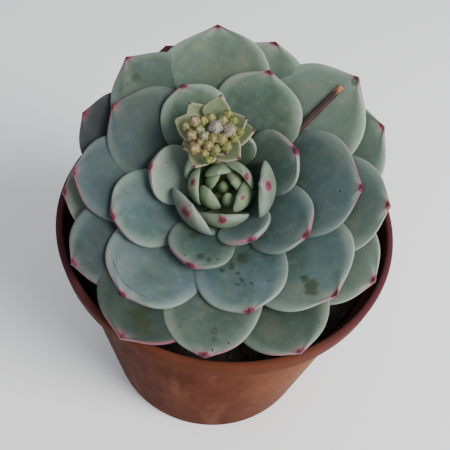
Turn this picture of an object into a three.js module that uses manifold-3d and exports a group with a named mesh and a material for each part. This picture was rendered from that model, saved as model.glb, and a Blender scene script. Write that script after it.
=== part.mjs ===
// A potted rosette succulent: thick spoon-shaped leaves round a leaning stem, in a round plastic pot.
// Millimetres, +Z up. The origin is the middle of the pot's foot, and the camera side is -Y.
import * as THREE from 'three';
import { ParametricGeometry } from 'three/addons/geometries/ParametricGeometry.js';
import { mergeVertices } from 'three/addons/utils/BufferGeometryUtils.js';
import Module from 'manifold-3d';

const wasm = await Module();
wasm.setup();

// Driving dimensions.
const gap = 0.3; // left between pieces that touch

const pot = {
  rimRadius: 60,
  height: 96,
  footRadius: 45,
  footRounding: 1.6,
  bodyTopRadius: 56.2,
  collarHeight: 7.4,
  collarWall: 2.5,
  wall: 1.5,
  floor: 2.2,
  holeCount: 6,
  holeRadius: 4,
  holeCircle: 29,
  sides: 48,
};

const soil = { top: 84, crown: 1.2, bumps: 0.7, sides: 36, rings: 7 };

// The stem comes out of the middle of the soil and bends towards -Y under the rosette.
const stem = { footDepth: 16, tipRadius: 1.4, sides: 12, steps: 12 };

const rosette = {
  centre: new THREE.Vector3(-2.8, -7.8, 120), // level of the innermost leaf tips
  leanForward: 28.8, // degrees towards -Y
  leanSide: -4.2, // degrees towards +X
  goldenAngle: 137.508,
  firstTurn: 256.8, // direction of leaf 0, degrees
  youngest: -16,
  oldest: 27,
  lastHeartLeaf: -10, // the leaves up to this one are still joined in the heart
  firstOrder: -15, // the age of the leaf whose root is at the first level
  firstRootLevel: -9.5, // along the rosette's axis
  rootStep: 0.27, // from one leaf's root down to the next
};

// The growing tip that the innermost leaves are joined to.
const growingTip = { radius: 2.2, height: 4.6, level: -8.3, sides: 10, rows: 8 };

const flowerHead = {
  x: -5.1,
  y: 13.8,
  z: 6.5, // in the rosette's own frame
  stalkRadius: 1.9,
  bractCount: 9,
  bractFirstTurn: 82,
  bractReach: 12.2,
  bractWidth: 9.6,
  cushionRadius: 7, // what the buds grow from
  cushionHeight: 3,
  cushionLevel: 0.6,
  budRadius: 1.62,
  budLength: 3.9,
  budLevel: 4.4, // the middle bud's, and the outer buds stand lower
  domeFall: 0.03,
  budLean: 0.075, // how fast the buds lean out
};

// Where each bud stands in the flower head's own frame, and its size: [x, y, size].
const buds = [
  [-4.7, 1.8, 1.22],
  [-2.2, 2.3, 0.9],
  [-0.1, 3.5, 0.88],
  [1.7, 0.7, 1.3],
  [3.5, 3.2, 0.98],
  [4.8, 5.6, 0.9],
  [6.6, 4, 0.85],
  [5.9, 0.5, 1.35],
  [7.7, -1.6, 0.85],
  [9.1, 0.8, 0.8],
  [-5.3, -2.4, 1.1],
  [-7.4, 0.4, 0.85],
  [-3.1, -0.7, 0.9],
  [-1.4, -2.5, 0.95],
  [1.4, -2.9, 0.92],
  [0.2, -5.1, 0.98],
  [3.9, -2.7, 1.05],
  [5.7, -4.6, 0.95],
  [-3.9, -6.2, 1.18],
  [-2.4, -4.4, 0.75],
  [-0.8, -7.4, 0.8],
  [2.5, -6, 0.9],
  [0.6, -9.2, 0.8],
];

const dryStalk = { radius: 1.35, cutRadius: 1.15, sides: 8, steps: 8 };

// Small helpers.
const rad = THREE.MathUtils.degToRad;
const clamp01 = (value) => THREE.MathUtils.clamp(value, 0, 1);
const logistic = (x) => 1 / (1 + Math.exp(-x));

// Joins the vertices of a closed geometry and drops the triangles that collapse at its poles.
function weld(geometry) {
  const bare = geometry.clone();
  for (const name of Object.keys(bare.attributes)) {
    if (name !== 'position') bare.deleteAttribute(name);
  }
  const merged = mergeVertices(bare, 1e-4);
  const index = merged.index.array;
  const kept = [];
  for (let t = 0; t < index.length; t += 3) {
    const [a, b, c] = [index[t], index[t + 1], index[t + 2]];
    if (a !== b && b !== c && c !== a) kept.push(a, b, c);
  }
  merged.setIndex(kept);
  return merged;
}

function toSolid(geometry) {
  const welded = weld(geometry);
  const mesh = new wasm.Mesh({
    numProp: 3,
    vertProperties: new Float32Array(welded.attributes.position.array),
    triVerts: new Uint32Array(welded.index.array),
  });
  const solid = new wasm.Manifold(mesh);
  return solid.volume() < 0 ? toSolid(flipped(welded)) : solid;
}

function flipped(geometry) {
  const index = Array.from(geometry.index.array);
  for (let t = 0; t < index.length; t += 3) [index[t + 1], index[t + 2]] = [index[t + 2], index[t + 1]];
  geometry.setIndex(index);
  return geometry;
}

// The biggest of the bodies that a cut leaves; the scraps are dropped.
function mainBody(solid) {
  return solid.decompose().reduce((best, one) => (one.volume() > best.volume() ? one : best));
}

function toMesh(name, solid, colour, roughness) {
  const { vertProperties, triVerts } = solid.getMesh();
  const geometry = new THREE.BufferGeometry();
  geometry.setAttribute('position', new THREE.BufferAttribute(new Float32Array(vertProperties), 3));
  geometry.setIndex(new THREE.BufferAttribute(new Uint32Array(triVerts), 1));
  const material = new THREE.MeshStandardMaterial({ color: colour, roughness, metalness: 0 });
  const mesh = new THREE.Mesh(geometry, material);
  mesh.name = name;
  return mesh;
}

// A tube of changing radius along a curve, with flat ends that stand out by extra.
function taperedTube(curve, radiusAt, sides, steps, extra = 0) {
  const frames = curve.computeFrenetFrames(steps, false);
  const surface = (around, row, target) => {
    const place = Math.round(row * (steps + 2)) - 1;
    const step = THREE.MathUtils.clamp(place, 0, steps);
    const centre = curve.getPointAt(step / steps);
    const radius = place === step ? radiusAt(centre, step / steps) : 0;
    const turn = around * 2 * Math.PI;
    target.copy(centre);
    if (step === 0) target.addScaledVector(frames.tangents[step], -extra);
    if (step === steps) target.addScaledVector(frames.tangents[step], extra);
    target.addScaledVector(frames.normals[step], radius * Math.cos(turn));
    target.addScaledVector(frames.binormals[step], radius * Math.sin(turn));
  };
  return toSolid(new ParametricGeometry(surface, sides, steps + 2));
}

// The rosette's own frame.
const axis = new THREE.Vector3(Math.sin(rad(rosette.leanSide)), -Math.sin(rad(rosette.leanForward)), 0);
axis.z = Math.sqrt(1 - axis.x ** 2 - axis.y ** 2);
const across = new THREE.Vector3(1, 0, 0).addScaledVector(axis, -axis.x).normalize();
const upward = new THREE.Vector3().crossVectors(axis, across);

function fromRosette(x, y, z) {
  const point = rosette.centre.clone();
  return point.addScaledVector(across, x).addScaledVector(upward, y).addScaledVector(axis, z);
}

// Leaves.
// Each leaf turns by the golden angle from the one before it, and its size follows from its age.
// These leaves depart a little from the rule: [turn in degrees, reach, rise, width, lop].
// A leaf with lop is that much of its half width wider on its left side, and narrower on its right.
const nudges = new Map([
  [-16, [0, -2.8, -2.8, -6, 0]],
  [-15, [0, -4.3, -2.2, -3, 0]],
  [-14, [20, -4.4, -1.6, -1.5, 0]],
  [-13, [-10, -2.7, -0.8, -1.5, 0]],
  [-12, [0, -4.7, -0.4, 0, 0]],
  [-11, [18, -2.5, 0, 0, 0]],
  [-10, [-5, -1.2, 0, 0, 0]],
  [-9, [0, -4, 0.8, 1.5, 0]],
  [-8, [0, -0.7, 0, 3, 0]],
  [-6, [0, -2.4, 2.5, 4.5, 0]],
  [-5, [3, -4, 2, 5.5, 0]],
  [-3, [-5, 0, 0, 0, 0]],
  [-2, [2, 1, 0, 0, 0]],
  [-1, [-3, 0, 0, 2, 0.05]],
  [1, [0, 3.5, 0, 0, 0]],
  [2, [-7, -2.5, 0, 1.3, 0.03]],
  [3, [0, 0, 0, 1, 0]],
  [4, [8, 0, 0, 4, -0.06]],
  [5, [0, 0, 0, 2.6, 0]],
  [6, [0, 0, 0, 3.7, -0.05]],
  [7, [-10, -2, 0, 6.5, 0.12]],
  [8, [0, 0, 0, 3.6, 0]],
  [9, [0, 3, 0, 8, 0.12]],
  [10, [0, 0, 0, 6, 0.03]],
  [11, [-1, -3, 0, 0, 0]],
  [12, [-2, 2.5, 0, 3.5, 0]],
  [13, [3, 2, 1.4, 0, 0]],
  [14, [3, -1, 0, 3, -0.04]],
  [15, [4, -1, 0, 2, -0.05]],
  [16, [0, 0, 0, 1, 0]],
  [17, [-2, -4.5, 0, 2, 0]],
  [18, [0, 4, 0, 1, 0]],
  [19, [-4, -2.5, 0, 2, 0]],
  [20, [0, 0, 0, 5, -0.12]],
  [21, [-3.5, 2.6, 6.7, 5.5, 0]],
  [22, [8, -2, -3, 0, 0]],
  [23, [0, 2, 0, 2, 0]],
  [24, [-7, -2, 0, 0, 0]],
  [25, [0, -6, -8, 0, 0]],
  [26, [0, -4, 3, 0, 0]],
  [27, [0, -6, -8, 0, 0]],
]);

// How fast the straight shoulders of the more pointed leaves widen from the tip.
const pointedEnds = new Map([
  [4, 3],
  [6, 2.8],
  [7, 3.2],
  [9, 3],
  [11, 3],
  [12, 2.4],
  [14, 2.4],
]);

// How far the tips of the twisted young leaves lie aside.
const twists = new Map([
  [-14, -1.5],
  [-13, -1.6],
  [-12, 1],
  [-11, -3],
  [-9, -3],
]);

// How many degrees further than the rule these young leaves curl in.
const curls = new Map([
  [-8, 12],
  [-6, 46],
  [-5, 54],
]);

const ageOrder = (age) => age - rosette.firstOrder;
const rootLevelOf = (order) => rosette.firstRootLevel - rosette.rootStep * order;
const rootRadiusOf = (order) => 1.2 + 6 * clamp01(order / 36);

function leafShape(age) {
  const [turn, moreReach, moreRise, moreWidth, lop] = nudges.get(age) ?? [0, 0, 0, 0, 0];
  const reach = 4.8 + 50.2 * logistic(0.231 * (age - 0.5)) + moreReach;
  const bowl = reach / 50;
  const curl = 110 * logistic(-0.35 * (age + 4.5)) + 25 * logistic(-0.9 * (age + 10));
  return {
    direction: rad(rosette.firstTurn - rosette.goldenAngle * age + turn),
    reach,
    rise: -2.1 * bowl + 5.1 * bowl ** 2 - 0.8 * Math.max(0, age - 15) + moreRise,
    rootRadius: rootRadiusOf(ageOrder(age)),
    rootLevel: rootLevelOf(ageOrder(age)),
    width: 9 + 0.46 * reach - 0.012 * Math.max(0, reach - 42) ** 2 + moreWidth,
    thickness: 2.1 + 3.2 * Math.min(1, reach / 40),
    cup: 0.14 + 0.3 * logistic(-0.35 * (age + 5)),
    tipAngle: 26 + curl + (curls.get(age) ?? 0),
    widest: 0.6, // where along its length the leaf is widest
    roundness: 2.15, // power of the leaf end's outline
    shoulder: pointedEnds.get(age) ?? 4.2,
    point: 0.02, // length of the pointed tip, in leaf widths
    lop,
    twist: twists.get(age) ?? 0,
    rows: age < 1 ? 7 : 8,
    around: age < 1 ? 8 : 10,
  };
}

// The bracts that depart from the rule: [turn in degrees, reach in mm].
const bractNudges = new Map([
  [1, [7, -3.5]],
  [5, [17, 0]],
  [6, [-12, 0]],
  [7, [13, -2]],
  [8, [-50, 1.5]],
]);

// The young bracts round the flower buds are small pointed leaves.
function bractShape(order) {
  const [turn, moreReach] = bractNudges.get(order) ?? [0, 0];
  return {
    direction: rad(flowerHead.bractFirstTurn - rosette.goldenAngle * order + turn),
    reach: flowerHead.bractReach + moreReach,
    rise: 1.5 - 0.3 * order,
    rootRadius: 0.8,
    rootLevel: -2.6 - 0.25 * order,
    width: flowerHead.bractWidth,
    thickness: 1.7,
    cup: 0.3,
    tipAngle: 40,
    widest: 0.56,
    roundness: 1.6,
    shoulder: 1.3,
    point: 0.06,
    lop: 0,
    twist: 0,
    rows: 6,
    around: 6,
  };
}

// Half the leaf's width along its length: a narrow root that swells, then a rounded end whose
// last part is cut to straight shoulders.
function halfWidth(leaf, along, length) {
  const half = leaf.width / 2;
  if (along < leaf.widest) {
    const root = Math.max(0.4 * leaf.thickness, 0.2 * half);
    return root + (half - root) * Math.sin((along / leaf.widest) * (Math.PI / 2)) ** 2.1;
  }
  const past = (along - leaf.widest) / (1 - leaf.widest);
  const ending = half * clamp01(1 - past ** leaf.roundness) ** (1 / leaf.roundness);
  const shoulder = 0.3 + leaf.shoulder * length * (1 - along);
  return ending / (1 + (ending / shoulder) ** 5) ** 0.2;
}

const edgePower = 0.77; // keeps the leaf's edge thick
const signedPower = (value, power) => Math.sign(value) * Math.abs(value) ** power;

// The rows of vertices stand evenly up to the widest place and close together at the rounded end.
function rowPlace(leaf, row) {
  const straight = Math.ceil(leaf.rows / 2);
  const step = row * leaf.rows;
  if (step <= straight) return (leaf.widest * step) / straight;
  const past = (step - straight) / (leaf.rows - straight);
  return leaf.widest + (1 - leaf.widest) * Math.sin(past * (Math.PI / 2));
}

// A leaf: its midrib is an arc, its cross-section a flattened oval that is bent into a trough.
// extra is how much thicker it is all round, and place turns its own coordinates into the pot's.
function leafSolid(leaf, place, extra = 0) {
  const chord = Math.hypot(leaf.reach - leaf.rootRadius, leaf.rise - leaf.rootLevel);
  const chordAngle = Math.atan2(leaf.rise - leaf.rootLevel, leaf.reach - leaf.rootRadius);
  const bend = Math.max(2 * (rad(leaf.tipAngle) - chordAngle), rad(8));
  const startAngle = chordAngle - bend / 2;
  const arcRadius = chord / (2 * Math.sin(bend / 2));
  const length = arcRadius * bend;
  const point = leaf.point * leaf.width;
  const c = Math.cos(leaf.direction);
  const s = Math.sin(leaf.direction);
  const surface = (turn, row, target) => {
    const along = rowPlace(leaf, row);
    const pole = row < 0.5 / leaf.rows || row > 1 - 0.5 / leaf.rows;
    const open = pole ? 0 : 1;
    const wide = open * (halfWidth(leaf, along, length) + extra);
    const side = open * signedPower(Math.cos(turn * 2 * Math.PI), edgePower);
    const face = open * signedPower(Math.sin(turn * 2 * Math.PI), edgePower);
    const offset = wide * (side + leaf.lop * side ** 2);
    const swell = 0.42 + 0.58 * Math.sin(clamp01(along / leaf.widest) * (Math.PI / 2)) ** 1.5;
    const taper = Math.sqrt(clamp01(1 - clamp01((along - 0.35) / 0.66) ** 2.4));
    const deep = 0.35 + leaf.thickness * swell * taper;
    const trough = leaf.cup * wide * side ** 2 * clamp01(2 * along);
    const height = trough + (0.5 * deep + extra) * face - 0.3 * deep * open;
    const nearTip = clamp01((along - 0.75) / 0.25) ** 2;
    const beak = point * nearTip * Math.exp(-Math.abs(offset) / (0.1 * leaf.width));
    const run = along * (length - point) + beak + extra * (2 * along - 1);
    const aside = offset + leaf.twist * (run / length) ** 2;
    const slope = startAngle + run / arcRadius;
    const ribOut = leaf.rootRadius + arcRadius * (Math.sin(slope) - Math.sin(startAngle));
    const ribUp = leaf.rootLevel + arcRadius * (Math.cos(startAngle) - Math.cos(slope));
    const out = ribOut - Math.sin(slope) * height;
    const up = ribUp + Math.cos(slope) * height;
    target.copy(place(out * c - aside * s, out * s + aside * c, up));
  };
  return toSolid(new ParametricGeometry(surface, leaf.around, leaf.rows));
}

const rosetteLeaf = (age, extra = 0) => leafSolid(leafShape(age), fromRosette, extra);

// The innermost leaves are still joined round the growing tip.
function heartSolid(extra = 0) {
  const tip = new THREE.SphereGeometry(1, growingTip.sides, growingTip.rows);
  tip.scale(growingTip.radius + extra, growingTip.radius + extra, growingTip.height + extra);
  const middle = fromRosette(0, 0, growingTip.level);
  tip.applyMatrix4(new THREE.Matrix4().makeBasis(across, upward, axis).setPosition(middle));
  let solid = toSolid(tip);
  for (let age = rosette.youngest; age <= rosette.lastHeartLeaf; age += 1) {
    solid = solid.add(rosetteLeaf(age, extra));
  }
  return solid;
}

// Stem.
const stemCurve = new THREE.CatmullRomCurve3([
  new THREE.Vector3(0, 3.5, soil.top - stem.footDepth),
  new THREE.Vector3(-0.4, 3.2, soil.top),
  fromRosette(0, 0, -24),
  fromRosette(0, 0, -19),
  fromRosette(0, 0, -14),
  fromRosette(0, 0, rootLevelOf(0) + 0.6),
]);

// The stem narrows under the leaf roots, from the oldest leaf's level to the youngest one's.
function stemRadius(point, extra) {
  const level = point.clone().sub(rosette.centre).dot(axis);
  const order = (rosette.firstRootLevel - level) / rosette.rootStep;
  return Math.max(stem.tipRadius, rootRadiusOf(order)) + extra;
}

function stemSolid(extra = 0) {
  return taperedTube(stemCurve, (point) => stemRadius(point, extra), stem.sides, stem.steps, extra);
}

// Flowering stalk.
const headFrame = (x, y, z) => fromRosette(flowerHead.x + x, flowerHead.y + y, flowerHead.z + z);

const stalkCurve = new THREE.CatmullRomCurve3([
  fromRosette(-0.8, 2.6, -11),
  fromRosette(-2.6, 7, -7),
  fromRosette(-4.2, 11, -2.5),
  headFrame(0, -0.6, -4.5),
  headFrame(0, 0, -1.2),
]);

function flowerStalk(extra = 0) {
  let solid = taperedTube(stalkCurve, () => flowerHead.stalkRadius + extra, 8, 10, extra);
  for (let order = 0; order < flowerHead.bractCount; order += 1) {
    solid = solid.add(leafSolid(bractShape(order), headFrame, extra));
  }
  return solid;
}

// One bud: an egg that stands on its blunt end and comes to a point.
function budSolid(centre, direction, size) {
  const outline = [];
  const steps = 4;
  for (let step = 0; step <= steps; step += 1) {
    const part = step / steps;
    const radius = flowerHead.budRadius * Math.sin(Math.PI * part ** 1.25) ** 0.7;
    const pole = step === 0 || step === steps;
    const height = flowerHead.budLength * (0.55 - part);
    outline.push(new THREE.Vector2(pole ? 0 : radius * size, height * size));
  }
  const geometry = new THREE.LatheGeometry(outline, 7);
  const turn = new THREE.Quaternion().setFromUnitVectors(new THREE.Vector3(0, 1, 0), direction);
  geometry.applyQuaternion(turn);
  geometry.translate(centre.x, centre.y, centre.z);
  return toSolid(geometry);
}

// The buds stand close together on a low dome, the outer ones leaning out.
function flowerBuds() {
  const cushion = new THREE.SphereGeometry(1, 12, 8);
  cushion.scale(flowerHead.cushionRadius, flowerHead.cushionRadius, flowerHead.cushionHeight);
  const middle = headFrame(0, 0, flowerHead.cushionLevel);
  cushion.applyMatrix4(new THREE.Matrix4().makeBasis(across, upward, axis).setPosition(middle));
  let solid = toSolid(cushion);
  for (const [x, y, size] of buds) {
    const dome = flowerHead.budLevel - flowerHead.domeFall * (x ** 2 + y ** 2);
    const centre = headFrame(x, y, dome);
    const ahead = headFrame(flowerHead.budLean * x, flowerHead.budLean * y, 1);
    const direction = ahead.sub(headFrame(0, 0, 0)).normalize();
    solid = solid.add(budSolid(centre, direction, size));
  }
  return mainBody(solid.subtract(flowerStalk(gap)));
}

// Dry stalk.
// The rest of an old flowering stalk lies on the upper right leaf, from under the leaf inside it.
const dryCurve = new THREE.CatmullRomCurve3([
  fromRosette(11.5, 9.7, -11.7),
  fromRosette(20.2, 19.7, -6.6),
  fromRosette(27.2, 27.6, -2.1),
  fromRosette(33.8, 34.9, 2.5),
]);

function dryStalkSolid(extra = 0) {
  const radiusAt = (point, part) => THREE.MathUtils.lerp(dryStalk.radius, dryStalk.cutRadius, part) + extra;
  return taperedTube(dryCurve, radiusAt, dryStalk.sides, dryStalk.steps, extra);
}

// Pot and soil.
function latheSolid(profile, sides) {
  const outline = profile.map(([radius, height]) => new THREE.Vector2(radius, height));
  const geometry = new THREE.LatheGeometry(outline, sides);
  geometry.rotateX(Math.PI / 2);
  return toSolid(geometry);
}

const wallRadius = (height) => {
  const step = pot.height - pot.collarHeight;
  return pot.footRadius + ((pot.bodyTopRadius - pot.footRadius) * height) / step;
};

// The pot's wall in section: floor, tapering side, and a collar that steps out to a rounded lip.
function potProfile() {
  const step = pot.height - pot.collarHeight;
  const inner = pot.rimRadius - pot.collarWall;
  return [
    [0, 0],
    [pot.footRadius - pot.footRounding, 0],
    [wallRadius(pot.footRounding), pot.footRounding],
    [wallRadius(step) - 0.1, step - 0.6],
    [pot.rimRadius - 1.3, step],
    [pot.rimRadius - 0.4, step + 0.8],
    [pot.rimRadius, pot.height - 1.6],
    [pot.rimRadius - 0.5, pot.height - 0.4],
    [pot.rimRadius - 1.25, pot.height],
    [inner + 0.4, pot.height - 0.3],
    [inner, pot.height - 1.3],
    [inner - 0.3, step + 1.2],
    [wallRadius(step) - pot.wall, step - 1.2],
    [wallRadius(pot.floor) - pot.wall - 1, pot.floor + 0.6],
    [wallRadius(pot.floor) - pot.wall - 2, pot.floor],
    [0, pot.floor],
  ];
}

function potSolid() {
  let solid = latheSolid(potProfile(), pot.sides);
  for (let hole = 0; hole < pot.holeCount; hole += 1) {
    const turn = ((hole + 0.5) / pot.holeCount) * 2 * Math.PI;
    const drill = new THREE.CylinderGeometry(pot.holeRadius, pot.holeRadius, 3 * pot.floor, 12);
    drill.rotateX(Math.PI / 2);
    drill.translate(pot.holeCircle * Math.cos(turn), pot.holeCircle * Math.sin(turn), pot.floor / 2);
    solid = solid.subtract(toSolid(drill));
  }
  return solid;
}

// The soil fills the pot, and its top is lumpy.
function soilSolid() {
  const bottom = pot.floor + gap;
  const surface = (turn, row, target) => {
    const ring = row * soil.rings;
    const angle = turn * 2 * Math.PI;
    const top = ring > 1.5;
    const part = top ? clamp01((soil.rings - ring) / (soil.rings - 2)) : clamp01(ring);
    const level = top ? soil.top : bottom;
    const edge = wallRadius(level) - pot.wall - gap - (top ? 0.3 : 2.2);
    const radius = edge * part;
    const x = radius * Math.cos(angle);
    const y = radius * Math.sin(angle);
    const lumps = soil.bumps * Math.sin(0.33 * x + 1) * Math.cos(0.29 * y) * (1 - part ** 6);
    target.set(x, y, level + (top ? soil.crown * (1 - part ** 2) + lumps : 0));
  };
  return toSolid(new ParametricGeometry(surface, soil.sides, soil.rings)).subtract(stemSolid(gap));
}

// The assembly.
const green = 0x7f9a86;
const model = new THREE.Group();
const stemClear = stemSolid(gap);
const stalkClear = flowerStalk(gap);
const dryClear = dryStalkSolid(gap);

model.add(toMesh('pot', potSolid(), 0x8e4f3d, 0.45));
model.add(toMesh('soil', soilSolid(), 0x1f1a18, 0.95));
model.add(toMesh('stem', stemSolid(), 0x6b6a4a, 0.8));

const heart = mainBody(heartSolid().subtract(stemClear).subtract(stalkClear));
model.add(toMesh('rosette_heart', heart, 0x93ab7c, 0.6));

// Every other leaf is a piece of its own, and it makes room for the younger leaves that press on it.
let younger = heartSolid(gap);
for (let age = rosette.lastHeartLeaf + 1; age <= rosette.oldest; age += 1) {
  const whole = rosetteLeaf(age);
  const cut = whole.subtract(younger).subtract(stemClear).subtract(stalkClear).subtract(dryClear);
  const name = `leaf_${String(age - rosette.lastHeartLeaf).padStart(2, '0')}`;
  model.add(toMesh(name, mainBody(cut), green, 0.6));
  younger = younger.add(rosetteLeaf(age, gap));
}

model.add(toMesh('flower_stalk', mainBody(flowerStalk().subtract(stemClear)), 0x9db07f, 0.6));
model.add(toMesh('flower_buds', flowerBuds(), 0xc3bd8e, 0.6));
model.add(toMesh('dry_flower_stalk', dryStalkSolid(), 0x6e4a33, 0.8));

export default model;
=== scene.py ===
# A potted rosette succulent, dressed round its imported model. Metres, +Z up, the camera on the -Y side.
import math
import bpy
import numpy as np
from mathutils import Matrix, Vector


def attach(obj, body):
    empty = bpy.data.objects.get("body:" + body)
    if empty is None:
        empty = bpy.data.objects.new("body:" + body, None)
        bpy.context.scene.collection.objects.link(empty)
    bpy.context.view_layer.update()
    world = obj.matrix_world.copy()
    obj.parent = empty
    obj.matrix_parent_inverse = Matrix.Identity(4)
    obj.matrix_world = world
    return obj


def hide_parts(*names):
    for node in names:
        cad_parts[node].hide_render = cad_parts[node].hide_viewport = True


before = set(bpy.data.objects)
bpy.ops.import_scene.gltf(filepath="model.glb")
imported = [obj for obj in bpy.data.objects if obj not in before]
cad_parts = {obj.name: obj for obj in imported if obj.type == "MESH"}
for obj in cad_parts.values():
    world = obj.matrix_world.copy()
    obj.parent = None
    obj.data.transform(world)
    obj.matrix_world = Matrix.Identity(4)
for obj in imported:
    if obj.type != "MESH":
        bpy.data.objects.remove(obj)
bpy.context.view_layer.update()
print("frame loaded:", len(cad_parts), "nodes")

mm = 0.001
goldenAngle = math.radians(137.508)


# Shader maths.
class Tone:
    # the value of one socket; + - * on it add Math nodes, whichever side it stands on
    def __init__(self, maker, socket):
        self.maker = maker
        self.socket = socket

    def calc(self, operation, *values):
        return self.maker.node("ShaderNodeMath", {"operation": operation}, values)

    def __add__(self, other):
        return self.calc("ADD", self, other)

    def __radd__(self, other):
        return self.calc("ADD", other, self)

    def __sub__(self, other):
        return self.calc("SUBTRACT", self, other)

    def __rsub__(self, other):
        return self.calc("SUBTRACT", other, self)

    def __mul__(self, other):
        return self.calc("MULTIPLY", self, other)

    def __rmul__(self, other):
        return self.calc("MULTIPLY", other, self)

    def most(self, other):
        return self.calc("MAXIMUM", self, other)

    def magnitude(self):
        return self.calc("ABSOLUTE", self)

    def rise(self, low, high):
        # 0 below low, 1 above high, smooth between them
        ends = {"Value": self, "From Min": low, "From Max": high}
        return self.maker.node("ShaderNodeMapRange", {"interpolation_type": "SMOOTHSTEP"}, ends)

    def fall(self, low, high):
        return 1 - self.rise(low, high)


class Finish:
    # a material with one Principled shader
    def __init__(self, name, **fixed):
        self.material = bpy.data.materials.new(name)
        self.material.use_nodes = True
        self.tree = self.material.node_tree
        self.shader = self.tree.nodes["Principled BSDF"]
        for socket, value in fixed.items():
            self.shader.inputs[socket.replace("_", " ")].default_value = value

    def node(self, kind, settings=None, values=(), output=0):
        # settings are set first, then values or links go into the sockets
        made = self.tree.nodes.new(kind)
        for key, value in (settings or {}).items():
            setattr(made, key, value)
        pairs = values.items() if isinstance(values, dict) else enumerate(values)
        for key, value in pairs:
            if isinstance(value, Tone):
                self.tree.links.new(value.socket, made.inputs[key])
            else:
                made.inputs[key].default_value = value
        return Tone(self, made.outputs[output])

    def here(self):
        return self.node("ShaderNodeTexCoord", output="Object")

    def held(self, name, output="Fac"):
        return self.node("ShaderNodeAttribute", {"attribute_name": name}, output=output)

    def noise(self, size, detail=3.0, rough=0.5, place=None):
        # size is the width of one patch in metres
        values = {"Vector": place or self.here(), "Scale": 1 / size, "Detail": detail, "Roughness": rough}
        return self.node("ShaderNodeTexNoise", {}, values)

    def cells(self, size):
        # distance from the middle of the nearest cell, in cell widths
        values = {"Vector": self.here(), "Scale": 1 / size}
        return self.node("ShaderNodeTexVoronoi", {"feature": "F1"}, values, "Distance")

    def upright(self, share):
        # places with their height times a small share, so that a pattern on them runs up and down
        return self.node("ShaderNodeMapping", {}, {"Vector": self.here(), "Scale": (1.0, 1.0, share)})

    def axis(self, vector, number):
        # 0, 1 and 2 give x, y and z
        return self.node("ShaderNodeSeparateXYZ", {}, (vector,), number)

    def gapTo(self, place, spot):
        return self.node("ShaderNodeVectorMath", {"operation": "DISTANCE"}, (place, spot), "Value")

    def mix(self, share, low, high):
        # a colour: share 0 gives low, share 1 gives high
        settings = {"data_type": "RGBA", "clamp_factor": True}
        return self.node("ShaderNodeMix", settings, {0: share, 6: low, 7: high}, 2)

    def wear(self, **links):
        for socket, tone in links.items():
            self.tree.links.new(tone.socket, self.shader.inputs[socket.replace("_", " ")])

    def bump(self, height, depth):
        # height of 0 to 1 stands for depth in metres
        values = {"Height": height, "Strength": 1.0, "Distance": depth}
        self.wear(Normal=self.node("ShaderNodeBump", {}, values))


def paint(red, green, blue):
    # an sRGB colour of 0 to 255 as linear light
    return tuple((part / 255) ** 2.2 for part in (red, green, blue)) + (1.0,)


# Shapes.
def clip01(value):
    return np.clip(value, 0, 1)


def logistic(x):
    return 1 / (1 + np.exp(-x))


def signedPower(value, power):
    # the power of the value's size, with its sign kept
    return np.sign(value) * np.abs(value) ** power


def unit(rows):
    return rows / np.linalg.norm(rows, axis=-1, keepdims=True)


def turnsRound(count):
    # directions evenly round the circle, as one row
    return np.arange(count)[None, :] / count * 2 * math.pi


def ringsRound(radius, turn, height):
    # (radius cos turn, radius sin turn, height), one ring for each row of radii and heights
    parts = np.broadcast_arrays(radius * np.cos(turn), radius * np.sin(turn), height + 0 * turn)
    return np.stack(parts, -1)


def ripple(points, seed, size, octaves):
    # for each octave, six sine waves in random directions, half as long and 0.55 as high as the last
    dice = np.random.default_rng(seed)
    total = np.zeros(len(points))
    for octave in range(octaves):
        ways = unit(dice.normal(size=(6, 3)))
        phases = dice.uniform(0, 2 * math.pi, 6)
        waves = np.sin(points @ ways.T * (2 * math.pi * 2 ** octave / size) + phases)
        total += 0.55 ** octave * waves.sum(1) / 3
    return total


def closedGrid(rows, around, first=0):
    # faces of rings between two poles: point first, the rings row by row, then the last point
    ring = np.arange(around)
    after = (ring + 1) % around
    start = first + 1 + np.arange(rows - 1)[:, None] * around
    quads = np.stack([start + ring, start + after, start + around + after, start + around + ring], -1)
    lowest = first + 1
    highest = first + 1 + (rows - 1) * around
    foot = np.stack([np.full(around, first), lowest + after, lowest + ring], -1)
    head = np.stack([np.full(around, first + 1 + rows * around), highest + ring, highest + after], -1)
    return foot.tolist() + head.tolist() + quads.reshape(-1, 4).tolist()


def joinShells(shells):
    # one mesh of several closed grids, each given as points, rows, points around, and marks
    faces = []
    count = 0
    for points, rows, around, _ in shells:
        faces += closedGrid(rows, around, count)
        count += len(points)
    marks = {key: np.concatenate([shell[3][key] for shell in shells]) for key in shells[0][3]}
    return np.vstack([shell[0] for shell in shells]), faces, marks


def withPoles(foot, rings, head):
    # one value before the rings and one after them, in the order that closedGrid counts
    rings = np.asarray(rings, dtype=float)
    width = rings.shape[2] if rings.ndim == 3 else None
    flat = rings.reshape(-1, width) if width else rings.ravel()
    return np.concatenate([[foot], flat, [head]])


def smoothPath(knots, count):
    # Catmull-Rom curve: a cubic blend of the four knots round each point
    knots = np.asarray(knots, dtype=float)
    padded = np.vstack([2 * knots[0] - knots[1], knots, 2 * knots[-1] - knots[-2]])
    place = np.linspace(0, len(knots) - 1, count)
    first = np.minimum(place.astype(int), len(knots) - 2)
    t = (place - first)[:, None]
    a, b, c, d = (padded[first + k] for k in range(4))
    square = 2 * a - 5 * b + 4 * c - d
    cube = 3 * b - a - 3 * c + d
    return 0.5 * (2 * b + (c - a) * t + square * t ** 2 + cube * t ** 3)


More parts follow.
